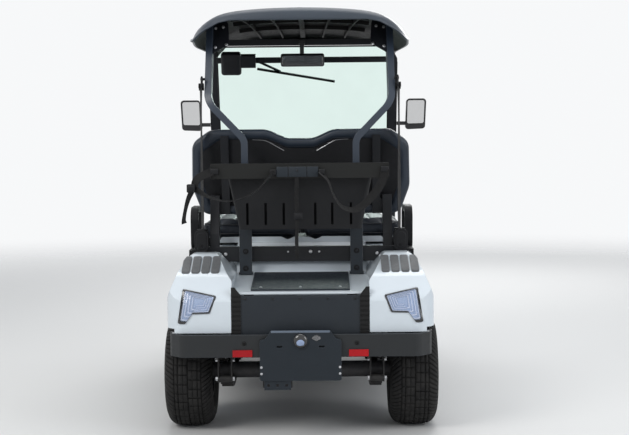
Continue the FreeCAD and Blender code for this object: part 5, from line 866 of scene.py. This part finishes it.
def padded_form(name, form, cap, box_low, box_high):
    """A closed shell swelled by cloth simulation, no point moved further than cap, then fitted to its box."""
    obj = add_object(name, mesh_of(name, *form))
    remesh = obj.modifiers.new("fine", "REMESH")
    remesh.mode, remesh.voxel_size, remesh.use_smooth_shade = "VOXEL", VOXEL, True
    settle(obj)
    first = last = values_of(obj.data, "co")
    cloth = obj.modifiers.new("swell", "CLOTH")
    cloth.settings.use_pressure = True
    cloth.settings.uniform_pressure_force = PRESSURE
    cloth.settings.effector_weights.gravity = 0
    cloth.point_cache.frame_start, cloth.point_cache.frame_end = 1, FRAMES
    for step in range(1, FRAMES + 1):
        bpy.context.scene.frame_set(step)
    last = values_of(obj.evaluated_get(bpy.context.evaluated_depsgraph_get()).data, "co")
    obj.modifiers.clear()
    bpy.context.scene.frame_set(1)
    move = last - first
    far = np.linalg.norm(move, axis=1)
    far[far == 0] = 1
    spots = first + move * np.minimum(1, cap / far)[:, None]
    low, high = spots.min(axis=0), spots.max(axis=0)
    spots = (spots - low) / (high - low) * (np.array(box_high) - np.array(box_low)) + np.array(box_low)
    obj.data.vertices.foreach_set("co", spots.ravel())
    finer = obj.modifiers.new("finer", "SUBSURF")
    finer.levels = finer.render_levels = 1
    settle(obj)
    return obj


def grooved(obj, lines, axis, depth):
    """Sewn channels: the surface facing along an axis sinks along lines given in the other two axes."""
    mesh = obj.data
    spots, normals = values_of(mesh, "co"), values_of(mesh, "normal")
    flat = spots[:, [a for a in range(3) if a != axis]]
    near = np.full(len(spots), 1e9)
    for a, b in lines:
        a, b = np.array(a), np.array(b)
        run = b - a
        share = np.clip(((flat - a) @ run) / (run @ run), 0, 1)
        near = np.minimum(near, np.linalg.norm(flat - a - share[:, None] * run, axis=1))
    sink = np.exp(-(near / SEAM_WIDTH) ** 2) + 0.35 * np.exp(-(near / (SEAM_WIDTH * 4)) ** 2)
    spots[:, axis] -= depth * sink * np.clip((normals[:, axis] - SEAM_FACING) / 0.3, 0, 1)
    mesh.vertices.foreach_set("co", spots.ravel())
    mesh.update()


def piping_on(obj, path):
    """A closed bead laid on a padded piece's surface, near a path."""
    surface = surface_of(obj.data)
    laid = []
    for point in path:
        spot, normal, _, _ = surface.find_nearest(Vector(point))
        laid.append(spot + normal * 0.0012)
    for _ in range(2):
        laid = [(laid[i - 1] + laid[i] * 2 + laid[(i + 1) % len(laid)]) / 4 for i in range(len(laid))]
    middle = sum(laid, Vector()) / len(laid)
    return sweep(laid, disc(PIPE_RADIUS, 8), [tuple(p - middle) for p in laid], closed=True)


pipes = Shape()
lo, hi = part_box("seat_cushions")
for side, sign in SIDES.items():
    low_x, high_x = sorted(sign * x for x in CUSHION_X)
    start = soft_box((low_x + 0.012, lo[1] + 0.012, lo[2] + 0.012),
                     (high_x - 0.012, hi[1] - 0.012, hi[2] - 0.014), 0.026, 4)
    cushion = padded_form("seat_cushion_" + side, start, CUSHION_CAP,
                          (low_x + 0.001, lo[1] + 0.001, lo[2] + 0.0002),
                          (high_x - 0.001, hi[1] - 0.001, hi[2] - 0.001))
    left, right, rear, cross, fore = low_x + 0.075, high_x - 0.075, lo[1] + 0.05, hi[1] - 0.13, hi[1] - 0.045
    seams = [((x, rear), (x, fore)) for x in (left, right)] + [((left, cross), (right, cross))]
    seams += [((x, rear), (x, cross)) for x in [left + k * (right - left) / 4 for k in (1, 2, 3)]]
    grooved(cushion, seams, 2, 0.0045)
    dress(cushion, "vinyl", "seat_lid")
    path = rounded_rectangle((low_x, lo[1]), (high_x, hi[1]), CUSHION_CORNER, 10)
    for up in PIPE_HEIGHTS:
        pipes.add(piping_on(cushion, [(x, y, lo[2] + up) for x, y in path]))
    if sign > 0:
        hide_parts("seat_cushions")
pipes.piece("cushion_piping", "piping", "vinyl", "seat_lid", 1.2)

rings = [[(x, deep, up) for x, up in back_ring(inset)] for inset, deep in PADDING_RINGS]
cushion = padded_form("seat_back_padding", loft(rings, close_start=True, close_end=True), BACK_CAP,
                      (-0.482, 0.0347, 0.017), (0.482, 0.1200, BACK_TALL - 0.017))
seams = [((x, 0.075), (x, 0.30)) for x in BACK_CHANNELS]
seams += [((-0.44, 0.30), (-0.06, 0.30)), ((0.06, 0.30), (0.44, 0.30)), ((0, 0.02), (0, 0.37))]
grooved(cushion, seams, 1, 0.0040)
bead = piping_on(cushion, [(x, 0.103, up) for x, up in back_ring(0.024, 8)])
for vert in cushion.data.vertices:
    vert.co = on_back(vert.co.x, vert.co.z, vert.co.y)
dress(cushion, "vinyl", "chassis")
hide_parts("seat_back_cushion")
piping = Shape().add(([on_back(v.x, v.z, v.y) for v in bead[0]], bead[1]))
piping.piece("back_piping", "piping", "vinyl", crease=1.2)

# ---- straps: places across, out of the straps' plane and up, and the turn there

STRAP_Y = -1.0493
STRAPS = [  # width, thickness, steps, places
    (0.036, 0.0026, 90, [
        (-0.104, 0, 1.138, 0.9), (-0.142, -0.004, 1.104, 1.35), (-0.176, -0.008, 1.066, 1.45),
        (-0.222, -0.010, 1.036, 1.35), (-0.300, -0.008, 1.014, 1.45), (-0.374, -0.006, 1.026, 1.2),
        (-0.436, -0.002, 1.058, 0.8), (-0.452, 0, 1.082, 0.5), (-0.436, 0, 1.114, 0.4),
        (-0.376, 0, 1.142, 0.3)]),
    (0.036, 0.0026, 40, [
        (-0.466, 0, 1.056, 0.9), (-0.482, 0, 1.020, 1.1), (-0.494, -0.002, 0.975, 1.25),
        (-0.501, -0.002, 0.935, 1.2), (-0.500, 0, 0.918, 1.0)]),
    (0.036, 0.0026, 90, [
        (0.085, 0, 1.138, 1.2), (0.122, -0.004, 1.098, 1.3), (0.144, -0.006, 1.040, 1.35),
        (0.176, -0.008, 0.990, 1.2), (0.222, -0.008, 0.972, 0.9), (0.268, -0.006, 0.988, 0.55),
        (0.320, -0.002, 1.040, 0.3), (0.352, 0, 1.086, 0.25), (0.372, 0, 1.150, 0.3)]),
    (0.017, 0.0022, 60, [
        (-0.012, 0.0018, 1.113, 0.1), (-0.014, 0.0023, 1.02, 0.3), (-0.013, 0.0028, 0.93, 0.2),
        (-0.015, 0.0028, 0.84, 0.5), (-0.014, 0.0033, 0.762, 0.25)]),
]
BUCKLES = [  # low corner, high corner, rounding, its steps
    ((-0.486, STRAP_Y - 0.018, 1.052), (-0.450, STRAP_Y + 0.016, 1.088), 0.005, 3),
    ((-0.480, STRAP_Y - 0.0205, 1.060), (-0.456, STRAP_Y - 0.016, 1.080), 0.003, 2),
    ((-0.026, -1.0515, 0.930), (0.012, -1.0385, 0.962), 0.004, 3),
    ((-0.019, -1.0535, 0.938), (0.005, -1.0505, 0.954), 0.002, 2),
]
CLIPS = [(-0.128, -0.1005, 1.136), (0.0815, 0.109, 1.136), (-0.385, -0.350, 1.141), (0.350, 0.385, 1.146)]


def strap(wide, thick, count, places):
    """A flat strap behind the bag rack; a turn of 0 shows its face, of a quarter circle its edge."""
    line = smooth_line([(x, STRAP_Y + out, z, turn) for x, out, z, turn in places], count)
    points = [Vector(row[:3]) for row in line]
    asides = []
    for index, row in enumerate(line):
        along = points[min(index + 1, count)] - points[max(index - 1, 0)]
        along = Vector((along.x, 0, along.z)).normalized()
        face = Vector((-along.z, 0, along.x))
        asides.append(face * math.cos(row[3]) + Vector((0, 1, 0)) * math.sin(row[3]))
    return sweep(points, ribbon(wide, thick), asides)


straps, buckles = Shape(), Shape()
for row in STRAPS:
    straps.add(strap(*row))
webbing = straps.piece("bag_strap_webbing", "webbing", "webbing", crease=1.0)
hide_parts("bag_straps")
for row in BUCKLES:
    buckles.add(soft_box(*row))
for x0, x1, z in CLIPS:
    buckles.add(soft_box((x0, -1.0530, z - 0.012), (x1, -1.0302, z + 0.012), 0.003, 3))
buckles.piece("bag_strap_buckles", "trim_black", "webbing")

# ---- seat belts

belts, guides, boxes = Shape(), Shape(), Shape()
BELT_X, GUIDE_X, GUIDE_Z = 0.4455, 0.4325, 1.520
BOX_X, BOX_Z, BOX_HALF = 0.451, 0.820, (0.031, 0.051)
RISING = [(0, -0.766, 0.868), (0, -0.768, 1.05), (0, -0.769, 1.24), (0, -0.768, 1.40),
          (-0.001, -0.768, GUIDE_Z - 0.004)]
OVER_GUIDE = [(-0.001, -0.770, -0.010), (-0.002, -0.776, 0.004), (-0.002, -0.768, 0.011),
              (-0.002, -0.760, 0.003), (-0.002, -0.757, -0.020)]
rising = smooth_line([(BELT_X + x, y, z) for x, y, z in RISING], 60)
sway = [(0.30 + 0.10 * math.sin(k * 0.11), 0.95, 0) for k in range(61)]
belts.both(sweep([Vector(p) for p in rising], ribbon(0.044, 0.0022), sway))
over = smooth_line([(BELT_X + x, y, GUIDE_Z + z) for x, y, z in OVER_GUIDE], 30)
belts.both(sweep([Vector(p) for p in over], ribbon(0.024, 0.0024), (1, 0.0, 0)))
webbing = belts.piece("seat_belt_webbing", "webbing", "webbing", crease=1.0)
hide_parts("seat_belts")
ring = rounded_path([(-0.017, -0.020), (0.021, -0.020), (0.010, 0.026), (-0.008, 0.026)], [0.007] * 4, 6)
guides.both(sweep([Vector((GUIDE_X + 0.008, -0.772 + y, GUIDE_Z + 0.014 + z)) for y, z in ring],
                  disc(0.0042, 8), (1, 0, 0), closed=True))
guides.both(lathe([(0.0105, 0), (0.0105, 0.004), (0.0085, 0.0075), (0.003, 0.0085)]),
            at((GUIDE_X + 0.006, -0.771, GUIDE_Z + 0.030), (1, 0, 0)))
guides.both(lathe([(0.006, 0), (0.006, 0.012)], 12),
            at((GUIDE_X - 0.007, -0.771, GUIDE_Z + 0.030), (1, 0, 0)))
guides.piece("seat_belt_rings", "trim_black", "trim_black")
wide, tall = BOX_HALF
outline = rounded_rectangle((-wide, -tall), (wide, tall), 0.025, 8)
for near, far, share in ((-0.7875, -0.7425, 1.0), (-0.7895, -0.7870, 0.72)):
    boxes.both(plate_form([(BOX_X + x * share, BOX_Z + z * share) for x, z in outline], near, far))
boxes.both(soft_box((BOX_X - 0.029, -0.777, BOX_Z + 0.046), (BOX_X + 0.021, -0.755, BOX_Z + 0.0535),
                    0.003, 3))
boxes.both(dome_head(0.006), at((BOX_X, -0.7893, BOX_Z - 0.022), BACKWARD))
boxes.piece("seat_belt_retractors", "trim_black", "trim_black")

# ---- bolts, screws and caps

RACK_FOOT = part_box("bag_rack")[0][2]
WASHER = [(0.0125, 0), (0.0125, 0.0012), (0.0085, 0.0016), (0.0082, 0.0004)]
SHACKLE_NUT = [(0.0098, 0), (0.0098, 0.0085), (0.0080, 0.0100)]
bolts, domes, caps = Shape(), Shape(), Shape()
for x in (-0.2335, -0.117, 0.0, 0.117, 0.2335):
    domes.add(dome_head(0.0062), at((x, -1.166, 0.603), BACKWARD))
for x in (-0.17, 0.0, 0.17):
    bolts.add(hex_head(0.0055), at((x, -1.102, 0.6445), (0, -0.09, 1)))
HEXES = [  # radius, place, direction, on both sides
    (0.0042, (0.1655, -1.225, 0.292), BACKWARD), (0.0042, (0.1655, -1.225, 0.3195), BACKWARD),
    (0.0065, (0.541, -1.148, 0.4562), (0, 0, 1)),
    (0.0048, (0.232, -0.7845, RACK_FOOT + 0.0102), (0, 0, 1)),
    (0.0048, (0.268, -0.7845, RACK_FOOT + 0.0102), (0, 0, 1)),
    (0.006, (0.394, -0.742, 0.756), BACKWARD), (0.006, (0.345, -0.742, 0.756), BACKWARD),
]
for radius, place, direction in HEXES:
    bolts.both(hex_head(radius), at(place, direction))
caps.both(dome_head(0.0095), at((0.238, -1.2052, 0.4185), BACKWARD))
for z in (0.697, 0.774):
    caps.both(lathe(WASHER), at((0.25, -0.806, z), BACKWARD))
    domes.both(dome_head(0.0068), at((0.25, -0.8065, z), BACKWARD))
domes.add(dome_head(0.0048), at((-0.010, -1.0492, 1.143), BACKWARD))
for y in (-1.130, -0.560):
    for z in (0.256, 0.339):
        for x, way in ((0.3568, 1), (0.2932, -1)):
            bolts.both(lathe(SHACKLE_NUT, 6), at((x, y, z), (way, 0, 0)))
bolts.piece("hex_bolts", "zinc", "steel")
domes.piece("button_screws", "frame_black", "frame_black")
caps.piece("washers_and_caps", "rubber", "trim_black")

# ---- plate bracket and its lamp

MESH_X, MESH_Z, MESH_HALF = 0.0672, 0.4430, (0.0233, 0.0155)
BRACKET_Y = -1.2257
HOOD_PROFILE = [(0.0315, -0.004), (0.0310, 0.000), (0.0285, 0.0045), (0.0225, 0.0085), (0.013, 0.0112),
                (0.004, 0.012)]
LENS_PROFILE = [(0.0185, 0), (0.0182, 0.0045), (0.014, 0.0078), (0.007, 0.0092), (0.002, 0.0096)]
wide, tall = MESH_HALF
diamond = [(MESH_X, MESH_Z + tall), (MESH_X + wide, MESH_Z), (MESH_X, MESH_Z - tall), (MESH_X - wide, MESH_Z)]
Shape().add(plate_form(diamond, BRACKET_Y, -1.2245)).piece("plate_bracket_mesh", "lamp_rim", "trim_black")
studs = Shape()
for row in range(-3, 4):
    for column in range(-4, 5):
        x, z = column * 0.0054 + (row % 2) * 0.0027, row * 0.0044
        if abs(x) / 0.021 + abs(z) / 0.014 < 1:
            studs.add(dome_head(0.0015), at((MESH_X + x, BRACKET_Y, MESH_Z + z), BACKWARD))
studs.piece("plate_bracket_studs", "zinc", "steel")
# The lip strip is a painted highlight: a pale bead where the bracket's top bend catches light
lip = Shape().add(soft_box((-0.1245, -1.2256, 0.4655), (0.1245, -1.2140, 0.4745), 0.0015))
lip.piece("plate_bracket_lip_highlight", "lip_blue", "trim_slate")
hood = Shape().add(lathe(HOOD_PROFILE, 40), at((0, -1.2292, 0.4315), BACKWARD))
hood.piece("plate_lamp_hood", "lamp_rim", "trim_black")
glow = Shape().add(lathe(LENS_PROFILE, 32), at((0, -1.2325, 0.4225), (0, -0.94, -0.34)))
glow.piece("plate_lamp_lens", "lamp_bowl", "lamp_clear")

# ---- rack and seat bar

covers, studs, plates = Shape(), Shape(), Shape()
for x0, x1 in ((-0.0995, -0.0505), (-0.0475, 0.030), (0.033, 0.080)):
    covers.add(soft_box((x0, -1.0492, 1.1155), (x1, -1.0450, 1.1590), 0.0018))
covers.piece("strap_guide_covers", "trim_slate", "trim_slate")
for x, radius in ((-0.0605, 0.0045), (0.0418, 0.0085), (0.081, 0.0052)):
    studs.add(dome_head(radius), at((x, -0.7422, 0.7655), BACKWARD))
studs.add(lathe([(0.0055, 0), (0.0055, 0.003), (0.004, 0.0045), (0.0015, 0.0045)]),
          at((-0.0235, -0.7422, 0.772), BACKWARD))
studs.piece("seat_bar_studs", "zinc", "steel")
for x0, x1 in ((0.3805, 0.3862), (-0.3862, -0.3805)):
    plates.add(soft_box((x0, -1.030, 1.112), (x1, -0.985, 1.170), 0.002))
plates.piece("rack_end_plates", "rack_grey", "frame_black")

# ---- roof

ROOF_TOP, ROOF_MID, ROOF_REACH = 1.894, -0.083, 0.723
# How far the skin falls toward its side edges: share of the half width, fall
FALL = [(0.0, 0.0), (0.26, 0.003), (0.47, 0.0095), (0.62, 0.0185), (0.73, 0.0325), (0.82, 0.056),
        (0.89, 0.084), (0.95, 0.120), (1.0, 0.165)]
fall_at, fall_by = zip(*smooth_line(FALL, 80))
# The edge's lowest line at the two ends: distance from the middle, height
REAR_EDGE = ([0.31, 0.36, 0.44, 0.49], [1.809, 1.798, 1.757, 1.7175])
FRONT_EDGE = ([0.38, 0.42, 0.468, 0.49], [1.823, 1.806, 1.751, 1.7215])
SIDE_EDGE = 1.7185


def roof_level(x, y):
    """Top of the roof's skin: it curves down across and along the cart."""
    share = ((y - ROOF_MID) / ROOF_REACH) ** 2
    across = min(abs(x) / (0.545 - 0.055 * share), 1.0)
    return ROOF_TOP - 0.029 * share - float(np.interp(across, fall_at, fall_by))


def roof_edge(x, y):
    """Lowest line of the roof's turned-down edge."""
    end = float(np.interp(abs(x), *(REAR_EDGE if y < ROOF_MID else FRONT_EDGE)))
    rise = min(max((0.66 - abs(y - ROOF_MID)) / 0.18, 0), 1)
    return max(end, SIDE_EDGE + 0.022 * rise * rise * (3 - 2 * rise))


plan = rounded_path([(-0.490, -0.806), (0.490, -0.806), (0.538, ROOF_MID), (0.490, 0.640), (-0.490, 0.640),
                     (-0.538, ROOF_MID)], [0.12, 0.12, 2.0, 0.12, 0.12, 2.0], 12)
plan = [point for point, _ in resample(plan + plan[:1], 0.018)][:-1]
plan_in = []
for index, point in enumerate(plan):
    tangent = plan[(index + 1) % len(plan)] - plan[index - 1]
    plan_in.append(Vector((-tangent.y, tangent.x)).normalized())


def roof_ring(inset, level, low=False, share=1):
    """A ring of the roof drawn in from its plan outline; low rings follow the edge's lowest line."""
    ring = []
    for point, inward in zip(plan, plan_in):
        spot = point + inward * inset
        spot = Vector((0, ROOF_MID)) + (spot - Vector((0, ROOF_MID))) * share
        edge = roof_edge(point.x, point.y)
        height = edge + level if low else max(roof_level(spot.x, spot.y) + level, edge + 0.0035)
        ring.append((spot.x, spot.y, height))
    return ring


# Rings from the edge inward: inset, level, low; then the shares of the last ring across the middle
SKIN_RINGS = [(0.0110, 0.0012, True), (0.0085, 0, True), (0.0025, 0, True), (0, 0.0025, True), (0, -0.042),
              (0.0012, -0.030), (0.0050, -0.0185), (0.0115, -0.0095), (0.0205, -0.0035), (0.0310, -0.0004)]
LINING_RINGS = [(0.0110, 0.0012, True), (0.0130, 0.0040, True), (0.0135, -0.040), (0.0165, -0.030),
                (0.0250, -0.020), (0.0400, -0.0145)]
INNER = [0.985, 0.96, 0.93, 0.895, 0.86, 0.82, 0.77, 0.71, 0.64, 0.55, 0.45, 0.34, 0.22, 0.1]
RIBS = [  # from, to, width
    ((0, -0.76), (0, 0.59), 0.026), ((-0.16, -0.76), (-0.11, 0.59), 0.009),
    ((0.16, -0.76), (0.11, 0.59), 0.009),
    ((-0.30, -0.74), (-0.23, 0.56), 0.009), ((0.30, -0.74), (0.23, 0.56), 0.009),
    ((-0.33, -0.43), (0.33, -0.43), 0.012), ((-0.34, -0.09), (0.34, -0.09), 0.012),
    ((-0.33, 0.25), (0.33, 0.25), 0.012)]
skin = [roof_ring(*row) for row in SKIN_RINGS] + [roof_ring(0.0310, 0, share=share) for share in INNER]
roof_skin = Shape().add(loft(skin, close_end=True)).piece("roof_skin", "roof_slate", "trim_slate", crease=1.3)
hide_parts("roof")
lining = [roof_ring(*row) for row in LINING_RINGS]
lining += [roof_ring(0.0400, -0.014, share=share) for share in INNER]
under = Shape().add(loft(lining, close_end=True))
for start, end, wide in RIBS:
    line = []
    for k in range(25):
        x, y = start[0] + (end[0] - start[0]) * k / 24, start[1] + (end[1] - start[1]) * k / 24
        line.append(Vector((x, y, roof_level(x, y) - 0.0235)))
    half = wide / 2
    under.add(sweep(line, [(-half, -0.010), (half, -0.010), (half, 0.010), (-half, 0.010)],
                    (line[-1] - line[0]).cross(Vector((0, 0, 1)))))
under.piece("roof_lining", "roof_under", "trim_black", crease=1.0)
bead = [Vector((x, 0.6245, 1.8265 - 0.10 * max(0, abs(x) - 0.34) ** 1.5)) for x in
        [-0.40 + k * 0.02 for k in range(41)]]
Shape().add(sweep(bead, disc(0.0035, 8), (0, 1, 0))).piece("roof_front_bead", "pale_lip", "trim_slate")

STRUT_LEAN, STRUT_Z, BRACKET_FACE = 0.508, 1.74, -0.6455
GUSSET = [(0.322, 1.712), (0.352, 1.696), (0.409, 1.662), (0.409, 1.814), (0.345, 1.838), (0.330, 1.812)]
brackets, pins = Shape(), Shape()
for sign in (-1, 1):
    outline = rounded_path([(sign * x, z) for x, z in GUSSET], [0.010] * 6, 4)
    brackets.add(plate_form(outline, BRACKET_FACE, -0.6395,
                            lambda x, z, d: Vector((x, d + (z - STRUT_Z) * STRUT_LEAN, z))))
brackets.piece("roof_brackets", "frame_black", "frame_black")
for x, z in ((0.336, 1.712), (0.386, 1.700), (0.352, 1.795), (0.386, 1.790)):
    pins.both(hex_head(0.0062), at((x, BRACKET_FACE + (z - STRUT_Z) * STRUT_LEAN, z), (0, -0.89, 0.45)))
pins.piece("roof_bracket_bolts", "zinc", "steel")

# ---- windscreen and wiper

SCREEN_FOOT, SCREEN_RUN = Vector((0, 0.690, 0.915)), Vector((0, -0.330, 0.868))
SCREEN_ALONG, SCREEN_LONG = SCREEN_RUN.normalized(), SCREEN_RUN.length
SCREEN_OUT = Vector((0, SCREEN_ALONG.z, -SCREEN_ALONG.y))
SEAL_HALF, SEAL_LOW, SEAL_HIGH = 0.4605, 0.0315, SCREEN_LONG - 0.0135


def on_screen(x, up, out):
    return SCREEN_FOOT + Vector((x, 0, 0)) + SCREEN_ALONG * up + SCREEN_OUT * out


border = rounded_rectangle((-SEAL_HALF, SEAL_LOW), (SEAL_HALF, SEAL_HIGH), 0.028, 8)
edge = [on_screen(x, up, 0.003) for x, up in border]
middle = SCREEN_FOOT + SCREEN_ALONG * SCREEN_LONG / 2
seal = Shape().add(sweep(edge, disc(0.0042, 8), [tuple(p - middle) for p in edge], closed=True))
seal.piece("windscreen_seal", "rubber", "trim_black", crease=1.2)
wiper = Shape()
blade = [on_screen(-0.247, SCREEN_LONG - 0.139, 0.0085), on_screen(0.172, SCREEN_LONG - 0.214, 0.0085)]
wiper.add(sweep(blade, [(-0.0012, -0.0022), (0.0012, -0.0022), (0.0045, 0.0060), (-0.0045, 0.0060)],
                tuple(SCREEN_ALONG)))
wiper.add(lathe([(0.0125, 0), (0.0125, 0.008), (0.0095, 0.012), (0.004, 0.0135)]),
          at(on_screen(-0.270, SCREEN_LONG - 0.086, 0.0215), SCREEN_OUT))
wiper.piece("wiper_rubber", "rubber", "trim_black")

# ---- mirrors

MIRROR_Z = 1.408
MIRROR_Y = SCREEN_FOOT.y - (MIRROR_Z - SCREEN_FOOT.z) / SCREEN_RUN.z * -SCREEN_RUN.y - 0.020
INSIDE_HALF, INSIDE_LOW, INSIDE_HIGH = 0.107, SCREEN_LONG - 0.091, SCREEN_LONG - 0.036
glasses, rims = Shape(), Shape()
outline = rounded_path([(0.5640, 1.3540), (0.6580, 1.3560), (0.6640, 1.4840), (0.5680, 1.4840)],
                       [0.012] * 4, 6)
glasses.both(plate_form(outline, MIRROR_Y - 0.0012, MIRROR_Y + 0.001))
inside = rounded_rectangle((-INSIDE_HALF, INSIDE_LOW), (INSIDE_HALF, INSIDE_HIGH), 0.011, 6)
glasses.add(plate_form(inside, -0.0932, -0.0910, on_screen))
glasses.piece("mirror_glasses", "mirror", "glass")
rim = [Vector((x, MIRROR_Y - 0.0006, z)) for x, z in outline]
rims.both(sweep(rim, disc(0.0020, 6), BACKWARD, closed=True))
rims.piece("mirror_rims", "rubber", "mirror_case", crease=1.2)

# ---- steering wheel, dash and pedals

COLUMN_OUT = Vector((0, -math.cos(math.radians(34)), math.sin(math.radians(34))))
HUB_COVER = [(0.041, -0.0045), (0.0425, 0.001), (0.040, 0.007), (0.030, 0.0115), (0.012, 0.0135),
             (0.004, 0.0137)]
LACES, GRIP_CIRCLE, GRIP_RADIUS = 72, 0.172, 0.0138
wheel_place = at((-0.250, 0.262, 0.985), COLUMN_OUT)
cover = Shape().add(lathe(HUB_COVER, 40), wheel_place)
cover.piece("steering_hub_cover", "trim_black", "trim_black", "steering_wheel")
laces = Shape()
for x, y in disc(1.0, LACES):
    spot = Vector((x, y, 0)) * (GRIP_CIRCLE - GRIP_RADIUS)
    half = Vector((-y * 0.0032, x * 0.0032, 0.0022))
    laces.add(sweep([wheel_place @ (spot + half), wheel_place @ (spot - half)], disc(0.0008, 5),
                    tuple(COLUMN_OUT)))
laces.piece("steering_wheel_stitches", "piping", "vinyl", "steering_wheel")

dash_face = surface_of(nodes["dash"].data)


def dash_depth(x, z):
    """The dash's rear face at a place across and up."""
    return dash_face.ray_cast(Vector((x, 0.2, z)), Vector((0, 1, 0)))[0].y


KEY_X, KEY_Z, GAUGE_X, GAUGE_Z = -0.085, 0.790, -0.115, 0.833
KEY = [(0.0155, -0.006), (0.0155, 0.004), (0.012, 0.006), (0.0118, 0.003), (0.003, 0.003)]
PEDALS = [  # middle, half width, low and high end, rear face
    (-0.232, 0.036, 0.430, 0.520, 0.4556), (-0.118, 0.024, 0.400, 0.520, 0.4427)]
TREAD_PITCH = 0.012
switches, gauge, pads = Shape(), Shape(), Shape()
switches.add(lathe(KEY, 32), at((KEY_X, dash_depth(KEY_X, KEY_Z), KEY_Z), BACKWARD))
for x in (-0.150, -0.122):
    y = dash_depth(x, KEY_Z)
    switches.add(soft_box((x - 0.010, y - 0.005, KEY_Z - 0.014), (x + 0.010, y + 0.006, KEY_Z + 0.014),
                          0.003, 3))
switches.piece("dash_switches", "zinc", "steel")
y = dash_depth(GAUGE_X, GAUGE_Z)
gauge.add(soft_box((GAUGE_X - 0.035, y - 0.005, GAUGE_Z - 0.013),
                   (GAUGE_X + 0.035, y + 0.010, GAUGE_Z + 0.013), 0.004, 3))
gauge.piece("charge_gauge", "lamp_rim", "trim_black")
for x, half, low, high, y in PEDALS:
    pads.add(soft_box((x - half - 0.001, y - 0.004, low - 0.001),
                      (x + half + 0.001, y + 0.0005, high + 0.001), 0.0018))
    for k in range(int((high - low) / TREAD_PITCH) - 1):
        z = low + 0.010 + k * TREAD_PITCH
        pads.add(soft_box((x - half + 0.006, y - 0.0062, z), (x + half - 0.006, y - 0.003, z + 0.005),
                          0.001, 1))
pads.piece("pedal_rubbers", "rubber", "trim_black")
